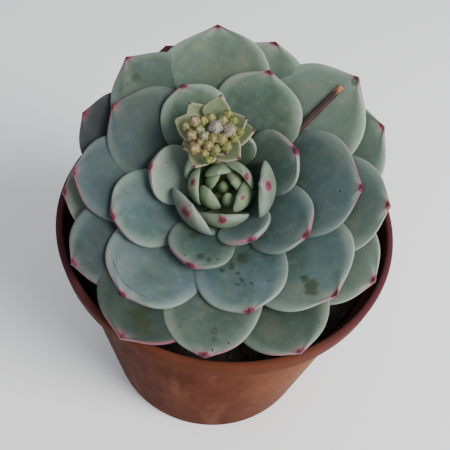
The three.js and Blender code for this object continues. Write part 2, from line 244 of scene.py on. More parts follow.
def tubePoints(path, radius, around):
    # centre + radius (cos turn * left + sin turn * up), on rings square to the path
    ahead = unit(np.gradient(path, axis=0))
    left = unit(np.cross(ahead, np.array([1.0, 0.0, 0.0])))
    up = np.cross(ahead, left)
    turn = turnsRound(around)[..., None]
    rings = np.cos(turn) * left[:, None] + np.sin(turn) * up[:, None]
    return withPoles(path[0], path[:, None] + np.asarray(radius)[..., None] * rings, path[-1])


def enclosed(points, faces):
    # signed volume: each face's fan of triangles against the origin
    total = 0.0
    for corners in (3, 4):
        chosen = np.array([face for face in faces if len(face) == corners])
        for last in range(2, corners):
            if len(chosen):
                a, b, c = (points[chosen[:, k]] for k in (0, last - 1, last))
                total += np.einsum("ij,ij->", a, np.cross(b, c)) / 6
    return total


def addObject(name, data):
    made = bpy.data.objects.new(name, data)
    bpy.context.scene.collection.objects.link(made)
    return made


def makePiece(name, points, faces, finish, nodes, marks):
    # a mesh with its faces outwards, its marks as point attributes, and the nodes it takes the place of
    if enclosed(points - points.mean(0), faces) < 0:
        faces = [face[::-1] for face in faces]
    mesh = bpy.data.meshes.new(name)
    mesh.from_pydata(points.tolist(), [], faces)
    for key, values in marks.items():
        values = np.asarray(values, dtype=np.float32)
        kind = "FLOAT" if values.ndim == 1 else "FLOAT_VECTOR"
        layer = mesh.attributes.new(key, kind, "POINT")
        layer.data.foreach_set("value" if values.ndim == 1 else "vector", values.ravel())
    mesh.polygons.foreach_set("use_smooth", [True] * len(mesh.polygons))
    mesh.materials.append(finish.material)
    mesh.update()
    piece = addObject(name, mesh)
    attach(piece, "root")
    if nodes:
        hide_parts(*nodes)
    return piece


# The rosette leans forward, so its leaves are worked out in a frame of their own, in millimetres.
rosette = {
    "centre": (-2.8, -7.8, 120.0),  # level of the innermost leaf tips
    "leanForward": 28.8,  # degrees towards -Y
    "leanSide": -4.2,  # degrees towards +X
    "firstTurn": 256.8,  # direction of leaf 0, degrees
    "youngest": -16,
    "oldest": 27,
    "lastHeartLeaf": -10,
    "firstOrder": -15,  # the age whose root is at the first level
    "firstRootLevel": -9.5,
    "rootStep": 0.27,
    "rows": 46,
    "around": 56,
    "seed": 40,
}


def rosetteFrame():
    # unit rows: across, up the back, and the rosette's axis, which leans by the two angles
    x = math.sin(math.radians(rosette["leanSide"]))
    y = -math.sin(math.radians(rosette["leanForward"]))
    axis = np.array([x, y, math.sqrt(1 - x * x - y * y)])
    across = unit(np.array([1.0, 0, 0]) - axis * x)
    return np.stack([across, np.cross(axis, across), axis])


rosetteBasis = rosetteFrame()


def fromRosette(points):
    return np.asarray(points, dtype=float) @ rosetteBasis + np.array(rosette["centre"])


# Leaves. Each turns by the golden angle from the one before it, and its size follows from its age.
# These depart a little from the rule: turn in degrees, then reach, rise and width in mm, and how much
# of its half width a leaf is wider on its left side and narrower on its right.
nudges = {
    -16: (0, -2.8, -2.8, -6, 0), -15: (0, -4.3, -2.2, -3, 0), -14: (20, -4.4, -1.6, -1.5, 0),
    -13: (-10, -2.7, -0.8, -1.5, 0), -12: (0, -4.7, -0.4, 0, 0), -11: (18, -2.5, 0, 0, 0),
    -10: (-5, -1.2, 0, 0, 0), -9: (0, -4, 0.8, 1.5, 0), -8: (0, -0.7, 0, 3, 0), -6: (0, -2.4, 2.5, 4.5, 0),
    -5: (3, -4, 2, 5.5, 0), -3: (-5, 0, 0, 0, 0), -2: (2, 1, 0, 0, 0), -1: (-3, 0, 0, 2, 0.05),
    1: (0, 3.5, 0, 0, 0), 2: (-7, -2.5, 0, 1.3, 0.03), 3: (0, 0, 0, 1, 0), 4: (8, 0, 0, 4, -0.06),
    5: (0, 0, 0, 2.6, 0), 6: (0, 0, 0, 3.7, -0.05), 7: (-10, -2, 0, 6.5, 0.12), 8: (0, 0, 0, 3.6, 0),
    9: (0, 3, 0, 8, 0.12), 10: (0, 0, 0, 6, 0.03), 11: (-1, -3, 0, 0, 0), 12: (-2, 2.5, 0, 3.5, 0),
    13: (3, 2, 1.4, 0, 0), 14: (3, -1, 0, 3, -0.04), 15: (4, -1, 0, 2, -0.05), 16: (0, 0, 0, 1, 0),
    17: (-2, -4.5, 0, 2, 0), 18: (0, 4, 0, 1, 0), 19: (-4, -2.5, 0, 2, 0), 20: (0, 0, 0, 5, -0.12),
    21: (-3.5, 2.6, 6.7, 5.5, 0), 22: (8, -2, -3, 0, 0), 23: (0, 2, 0, 2, 0), 24: (-7, -2, 0, 0, 0),
    25: (0, -6, -8, 0, 0), 26: (0, -4, 3, 0, 0), 27: (0, -6, -8, 0, 0),
}

# How fast the straight shoulders of the more pointed leaves widen from the tip.
pointedEnds = {4: 3, 6: 2.8, 7: 3.2, 9: 3, 11: 3, 12: 2.4, 14: 2.4}

# How far the tips of the twisted young leaves lie aside, in mm.
twists = {-14: -1.5, -13: -1.6, -12: 1, -11: -3, -9: -3}

# How many degrees further than the rule these young leaves curl in.
curls = {-8: 12, -6: 46, -5: 54}

# How a leaf's shape follows from its age, in mm and degrees. Each pair of ages is the age with half of
# the change behind it, and how sharp the change is.
leafRule = {
    "firstReach": 4.8,
    "moreReach": 50.2,
    "reachAges": (0.5, -0.231),
    "bowlReach": 50,
    "bowlFall": 2.1,
    "bowlRise": 5.1,
    "droop": 0.8,  # for each leaf beyond the droop's age
    "droopAge": 15,
    "firstWidth": 9,
    "moreWidth": 0.46,
    "narrowing": 0.012,
    "narrowingReach": 42,
    "firstThickness": 2.1,
    "moreThickness": 3.2,
    "thickReach": 40,
    "cup": 0.14,  # depth of the trough, as a share of the half width
    "youngCup": 0.3,
    "cupAges": (-5, 0.35),
    "tipAngle": 26,
    "youngAngle": 110,
    "youngAges": (-4.5, 0.35),
    "heartAngle": 25,
    "heartAges": (-10, 0.9),
    "widest": 0.6,  # share of the length
    "roundness": 2.15,
    "shoulder": 4.2,
    "point": 0.02,
    "rootRadius": 1.2,
    "moreRoot": 6,
    "rootOrders": 36,
}


def ageShare(age, middle, sharpness):
    # an S-shaped curve of age, from 1 for young leaves to 0 for old ones, or back where sharpness is below 0
    return float(logistic(-sharpness * (age - middle)))


def rootRadius(order):
    return leafRule["rootRadius"] + leafRule["moreRoot"] * clip01(order / leafRule["rootOrders"])


def leafShape(age):
    # the reach is an S-shaped curve of age; the rest follows from the reach, or from the age in such curves
    rule = leafRule
    turn, moreReach, moreRise, moreWidth, lop = nudges.get(age, (0, 0, 0, 0, 0))
    order = age - rosette["firstOrder"]
    reach = rule["firstReach"] + rule["moreReach"] * ageShare(age, *rule["reachAges"]) + moreReach
    bowl = reach / rule["bowlReach"]
    droop = rule["droop"] * max(0, age - rule["droopAge"])
    narrowing = rule["narrowing"] * max(0, reach - rule["narrowingReach"]) ** 2
    angle = rule["tipAngle"] + rule["youngAngle"] * ageShare(age, *rule["youngAges"])
    return {
        "direction": math.radians(rosette["firstTurn"] + turn) - goldenAngle * age,
        "reach": reach,
        "rise": -rule["bowlFall"] * bowl + rule["bowlRise"] * bowl ** 2 - droop + moreRise,
        "rootRadius": rootRadius(order),
        "rootLevel": rosette["firstRootLevel"] - rosette["rootStep"] * order,
        "width": rule["firstWidth"] + rule["moreWidth"] * reach - narrowing + moreWidth,
        "thickness": rule["firstThickness"] + rule["moreThickness"] * min(1, reach / rule["thickReach"]),
        "cup": rule["cup"] + rule["youngCup"] * ageShare(age, *rule["cupAges"]),
        "tipAngle": angle + rule["heartAngle"] * ageShare(age, *rule["heartAges"]) + curls.get(age, 0),
        "widest": rule["widest"],
        "roundness": rule["roundness"],
        "shoulder": pointedEnds.get(age, rule["shoulder"]),
        "point": rule["point"],
        "lop": lop,
        "twist": twists.get(age, 0),
        "seed": order + rosette["seed"],
    }


# The form that all leaves and bracts share.
bladeForm = {
    "leastBend": 8,  # degrees from root to tip
    "firstRing": 0.012,  # share of the way to the widest place
    "lastRing": 0.995,  # share of the way from there to the tip
    "rootDepth": 0.4,  # half width at the root, as a share of the thickness
    "rootWidth": 0.2,  # the same, as a share of the leaf's half width
    "swellPower": 2.1,
    "bluntness": 0.3,  # mm
    "cutPower": 5,
    "oval": 0.77,  # below 1 the section is squarer than an oval
    "rootThickness": 0.42,
    "moreThickness": 0.58,
    "thickPower": 1.5,
    "taperFrom": 0.35,
    "taperRun": 0.66,
    "taperPower": 2.4,
    "rimThickness": 0.35,  # mm
    "sink": 0.3,  # how far the section lies under the midrib, as a share of its thickness
    "waves": 0.016,
    "ripples": 0.01,
    "wobble": 0.02,
    "beakFrom": 0.75,
    "beakWidth": 0.1,
    "tipGap": 1.2,  # how the way to the tip counts against the way to the rim
    "tipSink": -0.1,  # mm
}


def midrib(leaf):
    # an arc from the root to the tip that ends at the tip's angle: start angle, radius and length
    out = leaf["reach"] - leaf["rootRadius"]
    up = leaf["rise"] - leaf["rootLevel"]
    chordAngle = math.atan2(up, out)
    bend = max(2 * (math.radians(leaf["tipAngle"]) - chordAngle), math.radians(bladeForm["leastBend"]))
    radius = math.hypot(out, up) / (2 * math.sin(bend / 2))
    return chordAngle - bend / 2, radius, radius * bend


def leafPoints(leaf, rows, around):
    # round the midrib's arc runs a flattened oval, bent into a trough; its half width swells with the
    # sine of the way to the widest place, then follows a rounded end cut to straight shoulders
    form = bladeForm
    startAngle, arcRadius, length = midrib(leaf)
    half = leaf["width"] / 2
    beakLength = leaf["point"] * leaf["width"]
    straight = rows * 5 // 9
    first = np.linspace(form["firstRing"], 1, straight) * leaf["widest"]
    last = np.sin(np.linspace(0, math.pi / 2, rows - straight + 1)[1:] * form["lastRing"])
    along = np.concatenate([first, leaf["widest"] + (1 - leaf["widest"]) * last])[:, None]
    turn = turnsRound(around)

    grown = np.sin(clip01(along / leaf["widest"]) * math.pi / 2)
    root = max(form["rootDepth"] * leaf["thickness"], form["rootWidth"] * half)
    swelling = root + (half - root) * grown ** form["swellPower"]
    past = clip01((along - leaf["widest"]) / (1 - leaf["widest"]))
    ending = half * (1 - past ** leaf["roundness"]) ** (1 / leaf["roundness"])
    shoulder = form["bluntness"] + leaf["shoulder"] * length * (1 - along)
    cut = (1 + (ending / shoulder) ** form["cutPower"]) ** (1 / form["cutPower"])
    wide = np.where(along < leaf["widest"], swelling, ending / cut)

    side = signedPower(np.cos(turn), form["oval"]) + 0 * along
    face = signedPower(np.sin(turn), form["oval"]) + 0 * along
    swell = form["rootThickness"] + form["moreThickness"] * grown ** form["thickPower"]
    thinned = clip01((along - form["taperFrom"]) / form["taperRun"]) ** form["taperPower"]
    deep = form["rimThickness"] + leaf["thickness"] * swell * np.sqrt(clip01(1 - thinned))
    phases = np.random.default_rng(leaf["seed"]).uniform(0, 2 * math.pi, 3)
    waves = form["waves"] * np.sin(5 * along + 2.2 * side + phases[0])
    waves = waves + form["ripples"] * np.sin(9 * along * side + phases[1])
    trough = leaf["cup"] * wide * side ** 2 * clip01(2 * along) + half * along * waves
    height = trough + 0.5 * deep * face - form["sink"] * deep
    wobble = 1 + form["wobble"] * np.sin(7 * along + phases[2])
    offset = wide * (side + leaf["lop"] * side ** 2) * wobble
    nearTip = clip01((along - form["beakFrom"]) / (1 - form["beakFrom"])) ** 2
    beak = beakLength * nearTip * np.exp(-np.abs(offset) / (form["beakWidth"] * leaf["width"]))
    run = along * (length - beakLength) + beak
    rimGap = np.minimum(wide * (1 - np.abs(side)), form["tipGap"] * length * (1 - along))

    run = withPoles(0, run, length)
    offset = withPoles(0, offset, 0)
    height = withPoles(0, height, form["tipSink"])
    aside = offset + leaf["twist"] * (run / length) ** 2
    slope = startAngle + run / arcRadius
    out = leaf["rootRadius"] + arcRadius * (np.sin(slope) - math.sin(startAngle)) - np.sin(slope) * height
    up = leaf["rootLevel"] + arcRadius * (math.cos(startAngle) - np.cos(slope)) + np.cos(slope) * height
    c = math.cos(leaf["direction"])
    s = math.sin(leaf["direction"])
    points = np.stack([out * c - aside * s, out * s + aside * c, up], -1)
    grid = {
        "along": withPoles(0, along + 0 * side, 1),
        "side": withPoles(0, side, 0),
        "face": withPoles(0, face, 0),
        "offset": offset,
        "run": run,
        "length": length,
        "rimGap": withPoles(0, rimGap, 0),
    }
    return points, grid


leafLook = {
    "green": paint(69, 92, 69),
    "blue": paint(53, 82, 96),
    "root": paint(32, 46, 36),
    "paintedHollowShade": paint(36, 54, 48),
    "bloom": paint(108, 122, 114),
    "heart": paint(106, 128, 84),
    "yellow": paint(128, 136, 70),
    "old": paint(54, 46, 54),
    "cool": paint(82, 104, 124),
    "rim": paint(150, 162, 150),
    "shaded": paint(12, 28, 29),
    "pale": paint(150, 164, 150),
    "blush": paint(132, 58, 84),
    "tip": paint(98, 34, 54),
    "warm": paint(108, 100, 66),
    "tipMiddle": paint(40, 12, 24),
    "rubbed": paint(40, 50, 22),
    "speck": paint(36, 30, 32),
    "widePatch": 0.022,  # metres, as all down to the bump
    "softPatch": 0.007,
    "mottlePatch": 0.0028,
    "finePatch": 0.0012,
    "violetPatch": 0.018,
    "warmPatch": 0.011,
    "tipPatch": 0.0015,
    "speckPatch": 0.016,
    "speckGap": 0.0042,
    "bump": 0.0002,
    "youngAges": (-8, 0.45),  # as in the leaf rule
    "curledAges": (-5, 0.8),
    "spotlessAges": (-12.2, 2),
    "oldAges": (23, -0.9),
    "oldShare": 0.35,
    "marginReach": 9.0,  # mm from the tip that the red margin runs
    "hollowReach": 9.0,  # mm from the tip over which the hollow fades
    "lane": 60.0,  # mm between the leaves' places on their shared map
    "seed": 500,
}

# How strong each layer of the leaves' colour is, from 0 to 1.
leafLayers = {
    "root": 0.75,
    "mottle": 0.35,
    "cool": 0.28,
    "warm": 0.4,
    "heart": 0.8,
    "yellow": 0.45,
    "bloom": (0.16, 0.1, 0.2, 0.2),  # of the wide and soft patches, the mottles and the leaf's end
    "rim": 0.38,
    "rimLine": 0.12,
    "halo": 0.4,
    "blush": 0.8,
    "rubbed": 0.7,
    "pressed": 0.7,
    "ring": 0.6,
    "dark": 0.8,
    "speck": 0.7,
}

# Leaves with more colour than their age gives: how old they look, and how strong their margin is.
agedLeaves = {
    8: 0.16, 9: 0.12, 13: 0.22, 15: 0.12, 16: 0.35, 18: 0.18, 19: 0.85, 20: 0.2, 21: 0.3, 22: 0.8,
    23: 0.2, 24: 0.9, 26: 0.7,
}
redMargins = {21: 2.6, 16: 1.6, 24: 1.8, 8: 2.2, 3: 1.3, 12: 1.3, 15: 0.7, 0: 1.2, 13: 1.3, 7: 1.3}

# Where the red spot of a curled leaf lies: mm aside from its midrib, mm below its tip, and its size.
redSpots = {
    -5: (0, 3, 1.15), -6: (0, 2.7, 1), -7: (0, 1.2, 0.7), -8: (0, 1.3, 0.95), -9: (-2, 0.3, 1),
    -10: (0, 1.4, 0.75), -4: (0, 0.7, 0.9),
}

# Each leaf's tone: from 0 green to 1 blue, then how much darker it is, or paler below 0. The darkening
# and paling are partly the leaf's own tone and partly painted shade and light for how the light falls on it.
leafTones = {
    -9: (0.1, -0.2), -7: (0, -0.2), -6: (0.3, 0), -5: (0.4, 0.1), -4: (0.2, 0), -3: (1.8, 0),
    -2: (0.4, -0.3), -1: (0.4, 0.1), 0: (0.4, 0.3), 1: (0, 0.05), 2: (0.7, 0.2), 3: (0.6, 0.12),
    4: (0.1, 0), 5: (0.7, 0), 6: (0.5, 0.55), 7: (0.5, 0.2), 8: (0.8, -0.05), 9: (0, -0.09), 10: (0.4, 0),
    11: (1, 0.57), 12: (0.1, -0.2), 13: (0.15, 0.08), 14: (0.2, 0.4), 15: (0.2, 0.07), 16: (0.9, 0.47),
    17: (0, -0.1), 18: (0, 0.26), 19: (0.3, 0.68), 20: (0.3, -0.1), 21: (0, 0.7), 22: (0, 1),
    23: (0, -0.18), 24: (0.1, -0.3),
}

# Spots on single leaves: leaf, mm aside from its midrib, mm up from its root, radius in mm.
rubbedSpots = [
    (21, 0.4, 46.8, 3.4), (21, 3.4, 49.6, 3.0), (5, -3.6, 20.5, 1.5), (5, -2.6, 24.0, 1.1),
    (5, -1.1, 26.9, 0.9), (5, -0.5, 29.4, 1.0), (5, -2.3, 30.8, 0.8), (5, -6.0, 24.8, 0.8),
    (5, 1.2, 21.5, 2.0), (10, -2.8, 38.0, 1.6), (10, -3.5, 41.0, 2.4), (0, -3.3, 17.0, 1.6),
    (0, 1.6, 23.6, 1.2), (0, 4.4, 24.1, 1.0), (14, 1.6, 43.4, 1.6), (12, -0.6, 51.0, 1.5),
]
darkSpots = [
    (5, 0.3, 31.4, 0.45), (5, 2.3, 31.4, 0.5), (0, -2.9, 26.1, 0.4), (0, 7.0, 22.9, 0.5),
    (13, 6.9, 48.7, 0.4), (13, 2.3, 51.3, 0.5), (13, -8.6, 44.8, 0.4), (7, -1.0, 35.7, 0.5),
    (8, 2.3, 35.8, 0.4),
]
ringSpots = [(13, 2.1, 45.2, 0.7), (13, 2.5, 47.9, 0.6)]

# The line that a neighbour pressed into one leaf: part of a wide circle, kept within reach of its middle.
pressedLine = {
    "leaf": 8,
    "centre": (-0.4, 26.9),
    "radius": 15.9,
    "width": 0.4,
    "middle": (-2.0, 42.6),
    "reach": 10,
}


def leafPlaceOf(leafAge, offset, run):
    # where a spot lies on the map of all leaves, in the material's own coordinates
    return ((leafAge - rosette["youngest"]) * leafLook["lane"] + offset, run, 0.0)


def leafMarks(age, leaf, grid):
    # numbers that the leaf's finish reads: distances in mm from the tip and the rim, where the painted shade
    # of its hollow goes, and its tones, partly painted light and shade
    count = len(grid["run"])
    under = clip01(-grid["face"])
    curled = ageShare(age, *leafLook["curledAges"])
    spotAside, spotBelow, spotSize = redSpots.get(age, (0, 1.5 * curled, 1 / (1 + 0.4 * curled)))
    below = grid["length"] - grid["run"] - spotBelow
    aside = (0.62 + 0.2 * curled) * (grid["offset"] - spotAside)
    spotless = 3 * ageShare(age, *leafLook["spotlessAges"]) + 4 * curled * clip01(2 * grid["face"])
    fromTip = np.hypot(grid["length"] - grid["run"], grid["offset"])
    dice = np.random.default_rng(leafLook["seed"] + leaf["seed"])
    lopsided = 1 + dice.uniform(-0.8, 0.8) * grid["side"]
    marginReach = leafLook["marginReach"] * redMargins.get(age, dice.uniform(0.6, 1.3)) * lopsided
    tint, shade = leafTones.get(age, (0.3, 0))
    lane = (age - rosette["youngest"]) * leafLook["lane"]
    inner = clip01((grid["length"] * (1 - grid["along"])) / leafLook["hollowReach"])
    old = leafLook["oldShare"] * ageShare(age, *leafLook["oldAges"])
    return {
        "rimGap": grid["rimGap"],
        "spotGap": np.hypot(below, aside) / spotSize + spotless,
        "blush": clip01(1 - fromTip / np.maximum(marginReach, 0.5)) * (1 - curled) * (age not in curls),
        "along": grid["along"],
        # where the painted shade of the trough goes: the upper face's middle, fading towards the tip
        "paintedHollowShade": inner * clip01(grid["face"] * 3) * clip01(1 - (grid["side"] / 0.95) ** 2),
        "shade": np.full(count, shade),
        "young": np.full(count, ageShare(age, *leafLook["youngAges"])),
        "old": np.full(count, agedLeaves.get(age, old)),
        "tint": np.full(count, tint),
        "leafPlace": np.stack([lane + grid["offset"], grid["run"], 20 * under], -1),
    }


def leafFinish():
    # green to blue by the leaf's tint and a wide noise; painted shade at the root, partly a thinner bloom
    # there, and in the hollow; darker in mottles, with violet and warm patches, and yellow ones on young
    # leaves; over it the bloom, the pale rim with a painted highlight, the leaf's tone with painted light
    # and shade, and last the red margin and tip, rubbed spots and specks
    look = leafLook
    strong = leafLayers
    f = Finish(
        "leafSkin", Specular_IOR_Level=0.25, Subsurface_Weight=0.1, Subsurface_Scale=0.002,
        Sheen_Weight=0.12, Sheen_Roughness=0.5,
    )
    young = f.held("young")
    old = f.held("old")
    along = f.held("along")
    rimGap = f.held("rimGap")
    spotGap = f.held("spotGap")
    blush = f.held("blush")
    shade = f.held("shade")
    place = f.held("leafPlace", "Vector")
    wide = f.noise(look["widePatch"], 2)
    soft = f.noise(look["softPatch"], 4, 0.6)
    mottle = f.noise(look["mottlePatch"], 5, 0.7)
    fine = f.noise(look["finePatch"], 3, 0.6)
    tint = f.held("tint")
    colour = f.mix(tint + (wide - 0.5) * 1.4, look["green"], look["blue"])
    # painted shade towards the root, where the leaves above overlap; partly also the base's thinner bloom
    colour = f.mix(along.fall(0.2, 0.9) * strong["root"], colour, look["root"])
    # painted shade in the trough of the upper face, fading towards the tip and the rims
    colour = f.mix(f.held("paintedHollowShade") * (0.35 + 0.3 * soft), colour, look["paintedHollowShade"])
    colour = f.mix(mottle.fall(0.35, 0.6) * strong["mottle"], colour, look["paintedHollowShade"])
    violet = f.noise(look["violetPatch"], 3).rise(0.42, 0.62) * along.rise(0.3, 0.75)
    colour = f.mix(violet * (0.08 + tint * strong["cool"]), colour, look["cool"])
    warm = f.noise(look["warmPatch"], 3).rise(0.5, 0.66) * along.rise(0.4, 0.9)
    colour = f.mix(warm * (1 - tint * 0.6) * strong["warm"], colour, look["warm"])
    colour = f.mix(young * strong["heart"], colour, look["heart"])
    colour = f.mix(young * soft.rise(0.45, 0.7) * strong["yellow"], colour, look["yellow"])
    colour = f.mix(old, colour, look["old"])
    patches = (wide.rise(0.3, 0.7), soft.rise(0.3, 0.75), mottle.rise(0.5, 0.7), along.rise(0.6, 1.0))
    bloom = sum(patch * share for patch, share in zip(patches, strong["bloom"]))
    colour = f.mix(bloom * (1 - old * 0.7) * (1 - young * 0.8), colour, look["bloom"])
    # the pale rim: partly the leaf's paler margin, partly a painted highlight where the rounded edge takes
    # the light
    paleRimAndHighlight = rimGap.fall(0.0, 5.0) * along.rise(0.3, 0.85) * strong["rim"]
    paleRimAndHighlight = paleRimAndHighlight + rimGap.fall(0.0, 0.8) * strong["rimLine"]
    colour = f.mix(paleRimAndHighlight * (0.5 + soft) * (1 - old * 0.6) * (1 - young * 0.7), colour, look["rim"])
    # each leaf's darkening or paling: partly its own tone, partly painted shade and light for how the light
    # falls
    colour = f.mix(shade, colour, look["shaded"])
    colour = f.mix(0 - shade, colour, look["pale"])
    streak = rimGap.fall(0.0, 0.5 + blush * 1.5) * blush.rise(0.0, 0.6)
    halo = spotGap.fall(1.0, 3.2) * (1 - young * 0.5) * strong["halo"]
    blushed = (streak * (0.35 + wide.rise(0.3, 0.55) * 0.5)).most(halo)
    colour = f.mix(blushed * strong["blush"], colour, look["blush"])
    ragged = spotGap + (f.noise(look["tipPatch"], 3) - 0.5) * 1.2
    colour = f.mix(ragged.fall(0.9, 1.5) * (1 - young * 0.1), colour, look["tip"])
    colour = f.mix(ragged.fall(0.0, 0.9) * (0.5 + 0.4 * wide.rise(0.4, 0.6)), colour, look["tipMiddle"])
    colour, rubbed = spotted(f, colour, place, fine, mottle)
    speckled = f.cells(look["speckGap"]).fall(0.04, 0.09) * f.noise(look["speckPatch"], 2).rise(0.5, 0.58)
    colour = f.mix(speckled * strong["speck"], colour, look["speck"])
    gloss = rubbed * 0.14 + spotGap.fall(0.5, 1.5) * 0.12
    f.wear(Base_Color=colour, Roughness=0.62 - gloss + (soft - 0.5) * 0.15)
    f.bump(fine * 0.25 + soft * 0.5 + mottle * 0.3 + speckled * 0.3 - rubbed * 0.2, look["bump"])
    return f


def spotted(f, colour, place, fine, mottle):
    # a spot is where the distance to its middle on the leaves' map, made ragged by noise, is under its
    # radius; a ring and the pressed line are narrow bands of such a distance; gives colour and rubbed share
    look = leafLook
    strong = leafLayers
    rubbed = 0
    for age, offset, run, radius in rubbedSpots:
        gap = f.gapTo(place, leafPlaceOf(age, offset, run)) + (mottle - 0.5) * (2.6 * radius)
        spot = gap.fall(0.5 * radius, 1.3 * radius)
        rubbed = spot if rubbed == 0 else rubbed.most(spot)
    dark = 0
    for age, offset, run, radius in darkSpots:
        gap = f.gapTo(place, leafPlaceOf(age, offset, run)) + (fine - 0.5) * radius
        spot = gap.fall(0.6 * radius, radius)
        dark = spot if dark == 0 else dark.most(spot)
    for age, offset, run, radius in ringSpots:
        ring = (f.gapTo(place, leafPlaceOf(age, offset, run)) - radius).magnitude()
        dark = dark.most(ring.fall(0.1, 0.35) * strong["ring"])
    centre = leafPlaceOf(pressedLine["leaf"], *pressedLine["centre"])
    line = (f.gapTo(place, centre) - pressedLine["radius"] + (mottle - 0.5) * 0.8).magnitude()
    fromMiddle = f.gapTo(place, leafPlaceOf(pressedLine["leaf"], *pressedLine["middle"]))
    reach = pressedLine["reach"]
    kept = fromMiddle.fall(0.6 * reach, 1.1 * reach) * fine.rise(0.3, 0.6)
    pressed = line.fall(0.0, pressedLine["width"]) * kept * strong["pressed"]
    colour = f.mix(rubbed * strong["rubbed"], colour, look["rubbed"])
    colour = f.mix(pressed, colour, look["rubbed"])
    return f.mix(dark * strong["dark"], colour, look["speck"]), rubbed


growingTip = {
    "radius": 2.2,
    "height": 4.6,  # half of it
    "level": -8.3,
    "folds": 3,
    "foldDepth": 0.05,
    "rows": 20,
    "around": 28,
    "marks": {
        "rimGap": 5.0, "spotGap": 9.0, "blush": 0, "along": 0.9, "paintedHollowShade": 0, "shade": 0, "young": 1,
        "old": 0, "tint": 0,
    },
}


def makeGrowingTip(finish):
    # the bud of leaves too young to tell apart: an egg with faint folds that spiral up it
    rows, around = growingTip["rows"], growingTip["around"]
    part = np.linspace(0.03, 0.97, rows)[:, None]
    turn = turnsRound(around)
    fold = np.abs(np.sin(growingTip["folds"] / 2 * (turn + 2.2 * part))) ** 0.5
    radius = growingTip["radius"] * np.sin(math.pi * part) ** 0.75 * (1 - growingTip["foldDepth"] * fold)
    height = growingTip["level"] - growingTip["height"] * np.cos(math.pi * part)
    low = (0, 0, growingTip["level"] - growingTip["height"])
    high = (0, 0, growingTip["level"] + growingTip["height"])
    points = withPoles(low, ringsRound(radius, turn, height), high)
    marks = {key: np.full(len(points), value) for key, value in growingTip["marks"].items()}
    marks["leafPlace"] = points - np.array([100.0, 0, 0])  # beside the map's first lane
    faces = closedGrid(rows, around)
    makePiece("growingTip", fromRosette(points) * mm, faces, finish, ("rosette_heart",), marks)


def makeLeaves():
    finish = leafFinish()
    faces = closedGrid(rosette["rows"], rosette["around"])
    for age in range(rosette["youngest"], rosette["oldest"] + 1):
        leaf = leafShape(age)
        points, grid = leafPoints(leaf, rosette["rows"], rosette["around"])
        number = age - rosette["lastHeartLeaf"]
        name = f"leafBlade{number:02d}" if number > 0 else f"heartLeaf{1 - number}"
        node = f"leaf_{number:02d}" if number > 0 else "rosette_heart"
        marks = leafMarks(age, leaf, grid)
        makePiece(name, fromRosette(points) * mm, faces, finish, (node,), marks)
    makeGrowingTip(finish)
    print("leaves made:", rosette["oldest"] - rosette["youngest"] + 1)


makeLeaves()

# The young flowering stalk: its head stands in a frame parallel to the rosette's.
flowerHead = {
    "place": (-5.1, 13.8, 6.5),
    "stalkRadius": 1.9,
    "stalkFoot": [(-0.8, 2.6, -11), (-2.6, 7, -7), (-4.2, 11, -2.5)],  # in the rosette's frame
    "stalkHead": [(0, -0.6, -4.5), (0, 0, -1.2)],  # in the head's own frame
    "stalkKnobs": 0.05,
    "stalkRows": 40,
    "stalkAround": 24,
    "stalkMarks": {"along": 0.3, "rimGap": 5.0, "spotGap": 9.0, "stalk": 1.0},
    "bractCount": 9,
    "bractRows": 26,
    "bractAround": 32,
    "budRadius": 1.62,
    "budLength": 3.9,
    "budFoot": 0.45,  # share of the length under the bud's middle
    "budRows": 18,
    "budAround": 40,
    "creaseDepth": 0.13,
    "budLevel": 4.4,
    "domeFall": 0.03,
    "budLean": 0.075,
    "sepals": 5,
    "sepalFoot": 0.04,  # share of the bud's length
    "sepalLength": 0.78,
    "sepalSpread": 0.66,  # radians to each side
    "sepalGap": 0.1,
    "sepalThickness": 0.16,  # half of it
    "sepalTuck": 0.12,  # how far its edges lie in, and its tip out
    "sepalRows": 9,
    "sepalAround": 12,
    "seed": 31,
}

# Each bud: mm aside and up in the head's frame, size, then how pink, lilac and green it is.
buds = [
    (-4.7, 1.8, 1.22, 0.7, 0, 0), (-2.2, 2.3, 0.9, 0.2, 0, 0.2), (-0.1, 3.5, 0.88, 0.1, 0, 0.3),
    (1.7, 0.7, 1.3, 0, 1, 0), (3.5, 3.2, 0.98, 0.5, 0, 0), (4.8, 5.6, 0.9, 0, 0, 0.8),
    (6.6, 4.0, 0.85, 0, 0, 1), (5.9, 0.5, 1.35, 0.5, 0.7, 0), (7.7, -1.6, 0.85, 0.1, 0, 0.6),
    (9.1, 0.8, 0.8, 0, 0, 0.9),
    (-5.3, -2.4, 1.1, 0.9, 0, 0), (-7.4, 0.4, 0.85, 0.2, 0, 0.1), (-3.1, -0.7, 0.9, 0, 0.4, 0.4),
    (-1.4, -2.5, 0.95, 0.2, 0.4, 0), (1.4, -2.9, 0.92, 0.3, 0, 0.3), (0.2, -5.1, 0.98, 0.8, 0, 0),
    (3.9, -2.7, 1.05, 0.3, 0, 0.1), (5.7, -4.6, 0.95, 0.1, 0.1, 0.6), (-3.9, -6.2, 1.18, 0.9, 0, 0),
    (-2.4, -4.4, 0.75, 0.2, 0, 0.4), (-0.8, -7.4, 0.8, 0.1, 0, 0.4), (2.5, -6.0, 0.9, 0.1, 0.2, 0.6),
    (0.6, -9.2, 0.8, 0, 0, 1),
]

